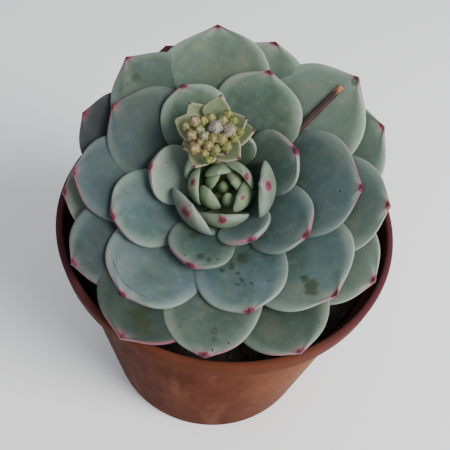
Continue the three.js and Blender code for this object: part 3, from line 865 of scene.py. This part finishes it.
# The bracts follow the leaves' spiral: the values of the first one, in mm and degrees, and how its rise
# and root fall from one bract to the next. Single bracts depart by a turn and a reach.
bract = {
    "direction": 82,
    "reach": 12.2,
    "rise": 1.5,
    "rootRadius": 0.8,
    "rootLevel": -2.6,
    "width": 9.6,
    "thickness": 1.7,
    "cup": 0.3,
    "tipAngle": 40,
    "widest": 0.56,
    "roundness": 1.6,
    "shoulder": 1.3,
    "point": 0.06,
    "lop": 0,
    "twist": 0,
    "seed": 90,
}
bractFall = {"rise": 0.3, "rootLevel": 0.25}
bractNudges = {1: (7, -3.5), 5: (17, 0), 6: (-12, 0), 7: (13, -2), 8: (-50, 1.5)}


def bractShape(order):
    turn, moreReach = bractNudges.get(order, (0, 0))
    return {
        **bract,
        "direction": math.radians(bract["direction"] + turn) - goldenAngle * order,
        "reach": bract["reach"] + moreReach,
        "rise": bract["rise"] - bractFall["rise"] * order,
        "rootLevel": bract["rootLevel"] - bractFall["rootLevel"] * order,
        "seed": bract["seed"] + order,
    }


def fromHead(points):
    return fromRosette(np.asarray(points, dtype=float) + np.array(flowerHead["place"]))


bractLook = {
    "green": paint(82, 98, 64),
    "cream": paint(114, 122, 90),
    "rim": paint(156, 146, 120),
    "tip": paint(78, 18, 36),
    "stalk": paint(132, 116, 92),
    "softPatch": 0.004,  # metres, as the next three
    "finePatch": 0.0008,
    "speckGap": 0.0026,
    "bump": 0.00012,
}


def bractFinish():
    # green to cream along the bract and by noise, the stalk browner, a pale rim, a dark tip and specks
    look = bractLook
    f = Finish("bractSkin", Subsurface_Weight=0.12, Subsurface_Scale=0.002, Sheen_Weight=0.15)
    soft = f.noise(look["softPatch"], 4, 0.6)
    fine = f.noise(look["finePatch"], 3, 0.6)
    along = f.held("along")
    colour = f.mix(along * 0.5 + soft.rise(0.3, 0.7) * 0.5, look["green"], look["cream"])
    colour = f.mix(f.held("stalk") * (0.5 + 0.5 * soft), colour, look["stalk"])
    rim = f.held("rimGap").fall(0.0, 1.3) * along.rise(0.2, 0.5)
    colour = f.mix(rim * (0.3 + 0.4 * soft), colour, look["rim"])
    tip = (f.held("spotGap") + (fine - 0.5) * 0.8).fall(0.35, 1.1)
    colour = f.mix(tip, colour, look["tip"])
    speckled = f.cells(look["speckGap"]).fall(0.06, 0.12) * soft.rise(0.5, 0.6)
    colour = f.mix(speckled * 0.6, colour, look["tip"])
    f.wear(Base_Color=colour, Roughness=0.58 + (soft - 0.5) * 0.2)
    f.bump(fine * 0.4 + soft * 0.6, look["bump"])
    return f


def makeFlowerStalk():
    # the stalk is a tube along five knots, and the bracts spiral round its head
    rows, around = flowerHead["bractRows"], flowerHead["bractAround"]
    shells = []
    for order in range(flowerHead["bractCount"]):
        points, grid = leafPoints(bractShape(order), rows, around)
        marks = {
            "along": grid["along"],
            "rimGap": grid["rimGap"],
            "spotGap": np.hypot(grid["length"] - grid["run"], grid["offset"]),
            "stalk": np.zeros(len(points)),
        }
        shells.append((fromHead(points), rows, around, marks))
    rows, around = flowerHead["stalkRows"], flowerHead["stalkAround"]
    knots = np.vstack([fromRosette(flowerHead["stalkFoot"]), fromHead(flowerHead["stalkHead"])])
    knobs = 1 + flowerHead["stalkKnobs"] * np.sin(np.arange(rows) * 0.7)[:, None]
    tube = tubePoints(smoothPath(knots, rows), flowerHead["stalkRadius"] * knobs, around)
    marks = {key: np.full(len(tube), value) for key, value in flowerHead["stalkMarks"].items()}
    shells.append((tube, rows, around, marks))
    points, faces, marks = joinShells(shells)
    makePiece("flowerStalk", points * mm, faces, bractFinish(), ("flower_stalk",), marks)
    print("flower stalk made:", flowerHead["bractCount"], "bracts")


budLook = {
    "cream": paint(138, 130, 84),
    "green": paint(98, 112, 48),
    "pink": paint(130, 98, 80),
    "lilac": paint(132, 126, 124),
    # the colour of the painted shade in the creases and low down
    "crease": paint(44, 44, 18),
    "speck": paint(120, 48, 46),
    "softPatch": 0.0022,  # metres, as the next three
    "finePatch": 0.0005,
    "speckGap": 0.0019,
    "bump": 0.0001,
}


def budFinish():
    # green to cream by height, pink, lilac and green by each bud's own tones, specks on the pink ones, and
    # painted shade in the creases and low down
    look = budLook
    f = Finish("budSkin", Subsurface_Weight=0.15, Subsurface_Scale=0.0015)
    soft = f.noise(look["softPatch"], 3, 0.6)
    fine = f.noise(look["finePatch"], 3, 0.6)
    height = f.held("height")
    tones = f.held("tones", "Vector")
    pink, lilac, green = (f.axis(tones, number) for number in range(3))
    colour = f.mix(height.rise(0.05, 0.6) * 0.8 + (soft - 0.5) * 0.5, look["green"], look["cream"])
    colour = f.mix(pink * height.rise(0.2, 0.8) * soft.rise(0.25, 0.6) * 0.8, colour, look["pink"])
    colour = f.mix(lilac * height.rise(0.1, 0.5) * 0.85, colour, look["lilac"])
    colour = f.mix(green * (0.6 + soft * 0.4), colour, look["green"])
    speckled = f.cells(look["speckGap"]).fall(0.08, 0.16) * pink
    colour = f.mix(speckled * 0.6, colour, look["speck"])
    # painted shade in the creases, along the sepals' edges and low down on each bud
    paintedCreaseShade = f.held("crease") * 0.9 + height.fall(0.2, 0.6) * 0.7
    colour = f.mix(paintedCreaseShade, colour, look["crease"])
    f.wear(Base_Color=colour, Roughness=0.5 + (soft - 0.5) * 0.2)
    f.bump(fine * 0.4 + soft * 0.6, look["bump"])
    return f


def budRadius(part):
    # radius sin(pi (1 - part)^1.25)^0.7 from the foot to the tip
    return flowerHead["budRadius"] * np.sin(math.pi * (1 - part) ** 1.25) ** 0.7


def budShell(rows, around):
    # an egg drawn in along as many twisting creases as there are sepals
    part = np.linspace(0.02, 0.985, rows)[:, None]
    turn = turnsRound(around)
    crease = 1 - np.abs(np.sin(flowerHead["sepals"] / 2 * (turn + 0.9 * part))) ** 0.4
    crease = crease * np.sin(math.pi * part ** 0.8)
    radius = budRadius(part) * (1 - flowerHead["creaseDepth"] * crease)
    height = flowerHead["budLength"] * (part - flowerHead["budFoot"])
    low = (0, 0, -flowerHead["budFoot"] * flowerHead["budLength"])
    high = (0, 0, (1 - flowerHead["budFoot"]) * flowerHead["budLength"])
    points = withPoles(low, ringsRound(radius, turn, height), high)
    return points, withPoles(0, part + 0 * turn, 1), withPoles(0, crease, 1)


def sepalShell(rows, around):
    # a pointed scale that hugs the bud most of its way up, widest low down, with thick soft edges
    part = np.linspace(0.03, 0.99, rows)[:, None]
    turn = turnsRound(around)
    place = flowerHead["sepalFoot"] + flowerHead["sepalLength"] * part
    spread = flowerHead["sepalSpread"] * np.sin(math.pi * part ** 0.62) ** 0.6
    thick = flowerHead["sepalThickness"] * np.sin(turn) * np.sqrt(np.sin(math.pi * part))
    tuck = flowerHead["sepalTuck"]
    out = budRadius(place) + flowerHead["sepalGap"] + thick
    out = out - tuck * np.abs(np.cos(turn)) ** 3 + tuck * part ** 5
    up = flowerHead["budLength"] * (place - flowerHead["budFoot"])
    rings = ringsRound(out, spread * np.cos(turn), up)
    edge = np.abs(np.cos(turn)) ** 5 * clip01(3 * part)
    points = withPoles(rings[0].mean(0), rings, rings[-1].mean(0))
    return points, withPoles(0, part + 0 * turn, 1), withPoles(0, edge, 0)


def makeFlowerBuds():
    # the buds stand close together on a low dome, level - fall * reach squared, the outer ones leaning out
    rows, around = flowerHead["budRows"], flowerHead["budAround"]
    sepalRows, sepalAround = flowerHead["sepalRows"], flowerHead["sepalAround"]
    shell, height, crease = budShell(rows, around)
    sepal, sepalHeight, sepalEdge = sepalShell(sepalRows, sepalAround)
    dice = np.random.default_rng(flowerHead["seed"])
    shells = []
    for x, y, size, *tones in buds:
        reach = math.hypot(x, y)
        middle = np.array([x, y, flowerHead["budLevel"] - flowerHead["domeFall"] * reach ** 2])
        ahead = unit(np.array([flowerHead["budLean"] * x, flowerHead["budLean"] * y, 1.0]))
        left = unit(np.cross((0.0, 1.0, 0.0), ahead))
        spin = dice.uniform(0, 2 * math.pi)
        lefts = math.cos(spin) * left + math.sin(spin) * np.cross(ahead, left)
        basis = np.stack([lefts, np.cross(ahead, lefts), ahead]) * size
        marks = {"height": height, "crease": crease, "tones": np.tile(tones, (len(shell), 1))}
        shells.append((fromHead(shell @ basis + middle), rows, around, marks))
        for number in range(flowerHead["sepals"]):
            angle = 2 * math.pi * (number + 0.5) / flowerHead["sepals"]
            c, s = math.cos(angle), math.sin(angle)
            turned = sepal @ np.array([[c, s, 0], [-s, c, 0], [0, 0, 1]])
            marks = {
                "height": 0.1 + 0.8 * sepalHeight,
                "crease": sepalEdge,
                "tones": np.tile(tones, (len(sepal), 1)),
            }
            shells.append((fromHead(turned @ basis + middle), sepalRows, sepalAround, marks))
    points, faces, marks = joinShells(shells)
    makePiece("flowerBuds", points * mm, faces, budFinish(), ("flower_buds",), marks)
    print("flower buds made:", len(buds))


makeFlowerStalk()
makeFlowerBuds()

# The rest of an old flowering stalk, dry and snapped off.
dryStalk = {
    "knots": [(11.5, 9.7, -11.7), (20.2, 19.7, -6.6), (27.2, 27.6, -2.1), (33.8, 34.9, 2.5)],
    "radius": 1.35,
    "cutRadius": 1.15,
    "furrows": 7,
    "furrowDepth": 0.09,
    "fineFurrows": 9,
    "fineDepth": 0.05,
    "knobs": 21,
    "knobHeight": 0.06,
    "splinterFrom": 0.93,  # share of the length
    "rows": 90,
    "around": 36,
    "brown": paint(64, 44, 38),
    "purple": paint(40, 26, 30),
    "broken": paint(170, 112, 66),
    "grainRound": 2,  # grains to a radian, and along the stalk
    "grainAlong": 5,
    "bump": 0.0003,  # metres
}


def dryFinish():
    # brown streaks along the stalk, and an orange broken end
    look = dryStalk
    f = Finish("dryStalkSkin")
    along = f.held("along")
    grain = f.noise(1.0, 4.0, place=f.held("grain", "Vector"))
    colour = f.mix(grain.rise(0.35, 0.65), look["purple"], look["brown"])
    torn = (along + (grain - 0.5) * 0.25).rise(0.9, 0.97)
    colour = f.mix(torn * (0.55 + 0.45 * grain), colour, look["broken"])
    f.wear(Base_Color=colour, Roughness=0.7 + (grain - 0.5) * 0.3)
    f.bump(grain, look["bump"])
    return f


def makeDryStalk():
    # a tube with shallow furrows that shrinks towards its broken, slanting end
    rows, around = dryStalk["rows"], dryStalk["around"]
    path = smoothPath(fromRosette(dryStalk["knots"]), rows)
    part = np.linspace(0, 1, rows)[:, None]
    turn = turnsRound(around)
    furrows = 1 - dryStalk["furrowDepth"] * np.abs(np.sin(dryStalk["furrows"] / 2 * turn + 2 * part))
    furrows = furrows - dryStalk["fineDepth"] * np.sin(dryStalk["fineFurrows"] * turn - 5 * part)
    knobs = 1 + dryStalk["knobHeight"] * np.sin(dryStalk["knobs"] * part) * np.sin(2 * turn + 9 * part)
    radius = (dryStalk["radius"] + (dryStalk["cutRadius"] - dryStalk["radius"]) * part) * furrows * knobs
    splinter = clip01((part - dryStalk["splinterFrom"]) / (1 - dryStalk["splinterFrom"]))
    radius = radius * (1 - 0.5 * splinter * (0.5 + 0.5 * np.sin(4 * turn + 1)))
    points = tubePoints(path, radius, around) * mm
    grain = ringsRound(dryStalk["grainRound"], turn, dryStalk["grainAlong"] * part)
    grain = withPoles((0, 0, 0), grain, (0, 0, dryStalk["grainAlong"]))
    marks = {"along": withPoles(0, part + 0 * turn, 1), "grain": grain}
    faces = closedGrid(rows, around)
    makePiece("dryStalk", points, faces, dryFinish(), ("dry_flower_stalk",), marks)
    print("dry stalk made")


makeDryStalk()

# The stem bends from the middle of the soil to the rosette, with the scars of old leaves.
stem = {
    "foot": [(0, 3.5, 68), (-0.4, 3.2, 84)],
    "top": [(0, 0, -24), (0, 0, -19), (0, 0, -14), (0, 0, -8.9)],  # in the rosette's frame
    "tipRadius": 1.4,
    "scars": 34,
    "firstScar": 8,  # mm above the foot
    "scarStep": 0.62,
    "scarWidth": 3.6,
    "scarHeight": 1.1,
    "scarDepth": 0.5,
    "lipHeight": 0.25,
    "rows": 150,
    "around": 96,
    "green": paint(96, 98, 62),
    "bark": paint(112, 88, 62),
    "scar": paint(70, 52, 40),
    "softPatch": 0.005,  # metres, as the next two
    "finePatch": 0.001,
    "bump": 0.0005,
}


def stemFinish():
    # green to bark by noise, dark in the scars
    f = Finish("stemBark")
    soft = f.noise(stem["softPatch"], 4, 0.6)
    fine = f.noise(stem["finePatch"], 4, 0.65)
    colour = f.mix(soft.rise(0.3, 0.65), stem["green"], stem["bark"])
    colour = f.mix(f.held("scar").rise(0.2, 0.8) * (0.5 + fine * 0.5), colour, stem["scar"])
    f.wear(Base_Color=colour, Roughness=0.75 + (fine - 0.5) * 0.3)
    f.bump(fine * 0.7 + soft * 0.3, stem["bump"])
    return f


def makeStem():
    # a tube whose radius follows the leaf roots; each old leaf leaves a wide low scar with a lip under it
    rows, around = stem["rows"], stem["around"]
    path = smoothPath(np.vstack([stem["foot"], fromRosette(stem["top"])]), rows)
    level = (path - np.array(rosette["centre"])) @ rosetteBasis[2]
    order = (rosette["firstRootLevel"] - level) / rosette["rootStep"]
    radius = np.maximum(stem["tipRadius"], rootRadius(order))[:, None]
    turn = turnsRound(around)
    scar = np.zeros((rows, around))
    lip = np.zeros((rows, around))
    for number in range(stem["scars"]):
        place = level.min() + stem["firstScar"] + number * stem["scarStep"]
        away = (turn - goldenAngle * number + math.pi) % (2 * math.pi) - math.pi
        sideways = radius * away / stem["scarWidth"]
        upward = (level[:, None] - place - 0.5 * np.cos(away)) / stem["scarHeight"]
        scar = np.maximum(scar, np.exp(-(sideways ** 4) - upward ** 2))
        lip = np.maximum(lip, np.exp(-(sideways ** 4) - ((upward + 0.9) / 0.6) ** 2))
    points = tubePoints(path, radius - stem["scarDepth"] * scar - stem["lipHeight"] * (1 - lip), around) * mm
    marks = {"scar": withPoles(0, scar, 0)}
    makePiece("stemBark", points, closedGrid(rows, around), stemFinish(), ("stem",), marks)
    print("stem made:", stem["scars"], "scars")


makeStem()

# The pot: a tapering wall, a collar that steps out, and a rounded lip, in mm.
pot = {
    "rimRadius": 60,
    "height": 96,
    "footRadius": 45,
    "bodyTopRadius": 56.2,
    "collarHeight": 7.4,
    "collarWall": 2.6,
    "wall": 1.5,
    "floor": 2.2,
    "holeCount": 6,
    "holeRadius": 4,
    "holeCircle": 29,
    "holeSteps": 40,
    "around": 240,
    "arcSteps": 8,
    "ringStep": 3.0,
    "brown": paint(98, 57, 42),
    "dark": paint(66, 32, 24),
    "collar": paint(84, 51, 40),
    # from here: a painted sky reflection, painted shade on the left, painted light on the right, the plain
    # brown behind, pale painted highlight bands, dust, and the inside wall's darker brown
    "paintedSideReflection": paint(74, 44, 52),
    "paintedLeftShade": paint(34, 18, 24),
    "paintedRightLight": paint(126, 86, 63),
    "plainBack": paint(86, 54, 42),
    "streak": paint(130, 94, 72),
    "dust": paint(120, 88, 70),
    "insideDark": paint(38, 26, 24),
    "widePatch": 0.035,  # metres, as all down to the bump
    "streakPatch": 0.006,
    "bandPatch": 0.012,
    "scuffPatch": 0.012,
    "finePatch": 0.0009,
    "pebblePatch": 0.0016,
    "bump": 0.00012,
}

# Where the pot's colours begin and end, in metres on the axis that each follows, and how strong they are.
potLayers = {
    "front": (-0.02, 0.03),
    "paintedLeftShade": (-0.052, -0.01, 0.85),
    "paintedRightLight": (0.0, 0.05),
    "plainBack": 0.6,
    "low": (0.0, 0.055, 0.5),
    "streak": 0.35,
    "paintedSideReflection": (0.022, 0.05, 0.75),
    "dust": 0.3,
}


def potWall(height):
    # the wall's outer radius, straight from the foot to the step under the collar
    part = height / (pot["height"] - pot["collarHeight"])
    return pot["footRadius"] + (pot["bodyTopRadius"] - pot["footRadius"]) * part


def potCorners():
    # radius, height and rounding of each corner, from the middle of the underside to that of the floor
    step = pot["height"] - pot["collarHeight"]
    inner = pot["rimRadius"] - pot["collarWall"]
    return [
        (0, 0, 0),
        (pot["footRadius"], 0, 1.8),
        (potWall(step), step, 0.5),
        (pot["rimRadius"] - 0.6, step, 0.9),
        (pot["rimRadius"], pot["height"], 1.5),
        (inner, pot["height"], 1.1),
        (inner - 0.3, step + 0.6, 0.9),
        (potWall(step) - pot["wall"], step - 0.9, 0.9),
        (potWall(pot["floor"]) - pot["wall"], pot["floor"], 2.2),
        (0, pot["floor"], 0),
    ]


def roundedLine(corners, arcSteps, spacing):
    # straight runs joined by quadratic curves that leave the run at each corner's rounding distance
    line = [np.array(corners[0][:2], dtype=float)]
    for before, corner, after in zip(corners, corners[1:], corners[2:]):
        middle = np.array(corner[:2], dtype=float)
        back = middle + corner[2] * unit(np.array(before[:2]) - middle)
        on = middle + corner[2] * unit(np.array(after[:2]) - middle)
        run = max(1, round(np.linalg.norm(back - line[-1]) / spacing))
        line += [line[-1] + (back - line[-1]) * k / run for k in range(1, run + 1)]
        t = np.linspace(0, 1, arcSteps + 1)[1:, None]
        line += list((1 - t) ** 2 * back + 2 * t * (1 - t) * middle + t ** 2 * on)
    run = round(np.linalg.norm(np.array(corners[-1][:2]) - line[-1]) / spacing)
    line += [line[-1] + (np.array(corners[-1][:2]) - line[-1]) * k / run for k in range(1, run + 1)]
    return np.array(line)


def potFinish():
    # two browns by a wide noise and upright streaks; painted shade on the left of the front, painted light
    # towards the right, plain brown behind, darker low down, with pale upright bands of painted highlight;
    # a brown collar with a painted sky reflection at both sides; handling marks, and darker down the inside
    f = Finish("potPlastic", Specular_IOR_Level=0.002)
    wide = f.noise(pot["widePatch"], 3, 0.55)
    streaks = f.noise(pot["streakPatch"], 3, 0.6, f.upright(0.12))
    fine = f.noise(pot["finePatch"], 4, 0.6)
    across, depth, height = (f.axis(f.here(), number) for number in range(3))
    front = depth.fall(*potLayers["front"])
    colour = f.mix(wide.rise(0.3, 0.7) * 0.6 + streaks.rise(0.35, 0.7) * 0.3, pot["brown"], pot["dark"])
    # painted shade on the left of the front, away from the light
    left, right, strong = potLayers["paintedLeftShade"]
    colour = f.mix(across.fall(left, right) * front * strong, colour, pot["paintedLeftShade"])
    # painted light towards the right, on top of the side lamp's own light
    colour = f.mix(across.rise(*potLayers["paintedRightLight"]) * (0.3 + 0.4 * wide), colour, pot["paintedRightLight"])
    # behind, a plain brown that tones down the painted light at the back
    colour = f.mix((1 - front) * potLayers["plainBack"], colour, pot["plainBack"])
    low, high, strong = potLayers["low"]
    colour = f.mix(height.fall(low, high) * strong, colour, pot["dark"])
    # pale upright bands of painted highlight, reflections of bright light running down the wall
    paintedHighlightBands = f.noise(pot["bandPatch"], 3, 0.6, f.upright(0.16))
    colour = f.mix(paintedHighlightBands.rise(0.48, 0.75) * potLayers["streak"], colour, pot["streak"])
    collar = f.held("collar")
    colour = f.mix(collar * (0.6 + 0.4 * wide), colour, pot["collar"])
    # a painted sky reflection on the collar at both sides
    near, far, strong = potLayers["paintedSideReflection"]
    colour = f.mix(collar * across.magnitude().rise(near, far) * strong, colour, pot["paintedSideReflection"])
    scuffs = f.noise(pot["scuffPatch"], 6, 0.7).rise(0.56, 0.7) * fine.rise(0.4, 0.7)
    colour = f.mix(scuffs * potLayers["dust"], colour, pot["dust"])
    # darker down the inside wall, fully so 5 mm under the lip
    inside = f.held("inside")
    colour = f.mix(inside * (0.55 + 0.45 * wide), colour, pot["insideDark"])
    f.wear(Base_Color=colour, Roughness=0.3 + streaks * 0.12 + scuffs * 0.2 + inside * 0.2)
    f.bump(f.noise(pot["pebblePatch"], 2) * 0.5 + wide * 0.5 + scuffs * 0.1, pot["bump"])
    return f


def drilled(piece, centres, radius, depth):
    # cuts round upright holes through the floor and keeps the result as the piece's mesh
    cutters = bpy.data.meshes.new("drill")
    points = []
    faces = []
    steps = pot["holeSteps"]
    rings = ringsRound(radius, turnsRound(steps), np.array([[-depth], [depth]]))
    for x, y in centres:
        low = len(points) + np.arange(steps)
        high = low + steps
        points += (rings + np.array([x, y, 0])).reshape(-1, 3).tolist()
        faces += np.stack([low, np.roll(low, -1), np.roll(high, -1), high], -1).tolist()
        faces += [low[::-1].tolist(), high.tolist()]
    cutters.from_pydata(points, [], faces)
    drill = addObject("drill", cutters)
    cut = piece.modifiers.new("holes", "BOOLEAN")
    cut.operation = "DIFFERENCE"
    cut.solver = "EXACT"
    cut.object = drill
    bpy.context.view_layer.update()
    result = bpy.data.meshes.new_from_object(piece.evaluated_get(bpy.context.evaluated_depsgraph_get()))
    piece.modifiers.clear()
    piece.data = result
    bpy.data.objects.remove(drill)


def makePot():
    # the profile turned round the upright axis
    line = roundedLine(potCorners(), pot["arcSteps"], pot["ringStep"])
    turn = turnsRound(pot["around"])
    rings = ringsRound(line[1:-1, :1], turn, line[1:-1, 1:])
    points = withPoles((0, 0, 0), rings, (0, 0, pot["floor"]))
    top = int(np.argmax(line[:, 1]))
    lower = np.arange(len(line)) > top
    inside = lower[1:-1, None] * clip01((pot["height"] - line[1:-1, 1:]) / 5) + 0 * turn
    collar = clip01((line[1:-1, 1:] - pot["height"] + pot["collarHeight"]) / 0.8) * (1 - inside)
    marks = {"inside": withPoles(0, inside, 1), "collar": withPoles(0, collar, 0)}
    faces = closedGrid(len(line) - 2, pot["around"])
    piece = makePiece("plasticPot", points * mm, faces, potFinish(), ("pot",), marks)
    angles = (np.arange(pot["holeCount"]) + 0.5) / pot["holeCount"] * 2 * math.pi
    centres = pot["holeCircle"] * mm * np.stack([np.cos(angles), np.sin(angles)], -1)
    drilled(piece, centres.tolist(), pot["holeRadius"] * mm, 3 * pot["floor"] * mm)
    print("pot made")


makePot()

# Soil: one body with a lumpy top, and loose crumbs and bits of bark on it.
soil = {
    "top": 84,
    "crown": 1.2,
    "lumps": 0.605,
    "lumpSize": 19,
    "fineLumps": 0.35,
    "fineLumpSize": 4.5,
    "footGap": 2.5,
    "wallGap": 0.35,
    "levelGap": 0.6,
    "crumbGap": 1.2,
    "seed": 5,
    "rings": 64,
    "around": 200,
    "black": paint(34, 28, 27),
    "brown": paint(66, 50, 42),
    "fibre": paint(104, 80, 58),
    "softPatch": 0.004,  # metres, as the next two
    "finePatch": 0.0008,
    "bump": 0.0008,
}

# What lies loose on the soil: count, seed, smallest and largest size in mm, how flat, and tones.
looseBits = {
    "soilCrumbs": (1500, 11, (0.35, 1.7), (0.85, 0.7), (0.0, 0.35)),
    "barkChips": (70, 12, (1.0, 3.2), (0.45, 0.2), (0.1, 0.8)),
}


def soilFinish():
    # black to brown by noise and by each crumb's own tone
    f = Finish("soilMix")
    soft = f.noise(soil["softPatch"], 5, 0.65)
    fine = f.noise(soil["finePatch"], 4, 0.7)
    colour = f.mix(soft.rise(0.4, 0.75) * 0.6 + fine.rise(0.5, 0.8) * 0.3, soil["black"], soil["brown"])
    colour = f.mix(f.held("tone"), colour, soil["fibre"])
    f.wear(Base_Color=colour, Roughness=0.92 + (fine - 0.5) * 0.1)
    f.bump(fine * 0.6 + soft * 0.4, soil["bump"])
    return f


def soilLevel(x, y):
    # a low crown with broad lumps, and finer crumbly ones on them
    edge = potWall(soil["top"]) - pot["wall"] - soil["levelGap"]
    part = np.hypot(x, y) / edge
    flat = np.stack([x, y, 0 * x], -1).reshape(-1, 3)
    fine = np.abs(ripple(flat, soil["seed"] + 1, soil["fineLumpSize"], 3))
    rough = ripple(flat, soil["seed"], soil["lumpSize"], 4) + soil["fineLumps"] * fine
    return soil["top"] + soil["crown"] * (1 - part ** 2) + soil["lumps"] * rough.reshape(np.shape(x))


def makeSoil(finish):
    # a flat underside just over the pot's floor, and a top of rings that shrink to the middle
    bottom = pot["floor"] + 0.3
    low = potWall(bottom) - pot["wall"] - soil["footGap"]
    high = potWall(soil["top"]) - pot["wall"] - soil["wallGap"]
    turn = turnsRound(soil["around"])
    part = np.linspace(1, 0, soil["rings"] + 1)[:-1, None]
    x = high * part * np.cos(turn)
    y = high * part * np.sin(turn)
    rings = np.concatenate([ringsRound(low, turn, bottom), np.stack([x, y, soilLevel(x, y)], -1)])
    middle = float(soilLevel(np.zeros(1), np.zeros(1))[0])
    points = withPoles((0, 0, bottom), rings, (0, 0, middle))
    faces = closedGrid(soil["rings"] + 1, soil["around"])
    marks = {"tone": np.zeros(len(points))}
    makePiece("soilBody", points * mm, faces, finish, ("soil",), marks)


def makeCrumbs(name, count, seed, sizes, flatness, tones, finish):
    # small lumps of one low grid, squeezed, turned and jittered, strewn evenly over the soil
    dice = np.random.default_rng(seed)
    rows, around = 3, 6
    part = np.linspace(0.25, 0.75, rows)[:, None] * math.pi
    lump = withPoles((0, 0, -1), ringsRound(np.sin(part), turnsRound(around), -np.cos(part)), (0, 0, 1))
    edge = potWall(soil["top"]) - pot["wall"] - soil["crumbGap"]
    size = sizes[0] + (sizes[1] - sizes[0]) * dice.uniform(0, 1, count) ** 4
    reach = (edge - size) * np.sqrt(dice.uniform(0, 1, count))
    way = dice.uniform(0, 2 * math.pi, count)
    x = reach * np.cos(way)
    y = reach * np.sin(way)
    shapes = lump[None] * (1 + dice.uniform(-0.28, 0.28, (count, len(lump), 1)))
    shapes = shapes * (size[:, None, None] * np.array([1.0, flatness[0], flatness[1]]))
    tilts = dice.normal(size=(count, 3, 3)) * np.array([1, 1, 0.4])[None, :, None]
    turns, _ = np.linalg.qr(tilts + 1.2 * np.eye(3))
    shapes = np.einsum("nij,nkj->nki", turns, shapes)
    shapes += np.stack([x, y, soilLevel(x, y) + 0.3 * size], -1)[:, None]
    faces = np.array([face + [-1] * (4 - len(face)) for face in closedGrid(rows, around)])
    everyFace = (faces[None] + (np.arange(count) * len(lump))[:, None, None]).reshape(-1, 4)
    triangles = np.tile(faces[:, 3] < 0, count)
    listed = [face[:3] if short else face for face, short in zip(everyFace.tolist(), triangles)]
    tone = np.repeat(tones[0] + (tones[1] - tones[0]) * dice.uniform(0, 1, count) ** 2, len(lump))
    makePiece(name, shapes.reshape(-1, 3) * mm, listed, finish, (), {"tone": tone})


soilSkin = soilFinish()
makeSoil(soilSkin)
for looseName, looseValues in looseBits.items():
    makeCrumbs(looseName, *looseValues, soilSkin)
print("soil made:", looseBits["soilCrumbs"][0], "crumbs,", looseBits["barkChips"][0], "chips of bark")

# Camera, light and floor. The camera stands where the photograph was taken from.
camera = {
    "place": (0, -135.4, 267.9),
    "aim": (-0.2, 0, 87.3),
    "roll": 0.133,  # radians
    "focalPixels": 612.5,
    "frameWidth": 450,
    "sensor": 36,
    "clipStart": 0.01,
}
studio = {
    "floor": paint(246, 246, 247),
    "floorReach": 8.0,
    "sky": 0.72,
    "skyColour": (0.9, 0.95, 1.0, 1),
    "lampAim": (0, 0, 0.09),
    "lamps": [
        # name, place and diameter in metres, watts, colour
        ("keyLamp", (0.6, -0.35, 0.75), 0.5, 11.5, (1.0, 0.98, 0.95)),
        ("sideLamp", (0.95, -0.35, 0.3), 0.5, 7.0, (1.0, 0.96, 0.92)),
    ],
}


def makeCamera():
    data = bpy.data.cameras.new("camera")
    data.sensor_width = camera["sensor"]
    data.lens = camera["sensor"] * camera["focalPixels"] / camera["frameWidth"]
    data.clip_start = camera["clipStart"]
    place = Vector(camera["place"]) * mm
    ahead = (Vector(camera["aim"]) * mm - place).normalized()
    level = ahead.cross(Vector((0, 0, 1))).normalized()
    upright = level.cross(ahead)
    c = math.cos(camera["roll"])
    s = math.sin(camera["roll"])
    turn = Matrix((level * c + upright * s, upright * c - level * s, -ahead)).transposed().to_4x4()
    view = addObject("camera", data)
    view.matrix_world = Matrix.Translation(place) @ turn
    bpy.context.scene.camera = view


def makeLamp(name, place, size, power, colour):
    data = bpy.data.lights.new(name, "AREA")
    data.shape = "DISK"
    data.size = size
    data.energy = power
    data.color = colour
    lamp = addObject(name, data)
    lamp.location = place
    lamp.rotation_euler = (Vector(studio["lampAim"]) - Vector(place)).to_track_quat("-Z", "Y").to_euler()


def makeFloor():
    mesh = bpy.data.meshes.new("floor")
    reach = studio["floorReach"]
    corners = [(-reach, -reach, 0), (reach, -reach, 0), (reach, reach, 0), (-reach, reach, 0)]
    mesh.from_pydata(corners, [], [(0, 1, 2, 3)])
    finish = Finish("floorPaint", Base_Color=studio["floor"], Roughness=0.9)
    mesh.materials.append(finish.material)
    floor = addObject("floor", mesh)


def makeSky():
    world = bpy.data.worlds.new("sky")
    world.use_nodes = True
    background = world.node_tree.nodes["Background"]
    background.inputs["Color"].default_value = studio["skyColour"]
    background.inputs["Strength"].default_value = studio["sky"]
    bpy.context.scene.world = world


makeCamera()
for lampValues in studio["lamps"]:
    makeLamp(*lampValues)
makeFloor()
makeSky()
print("studio made")
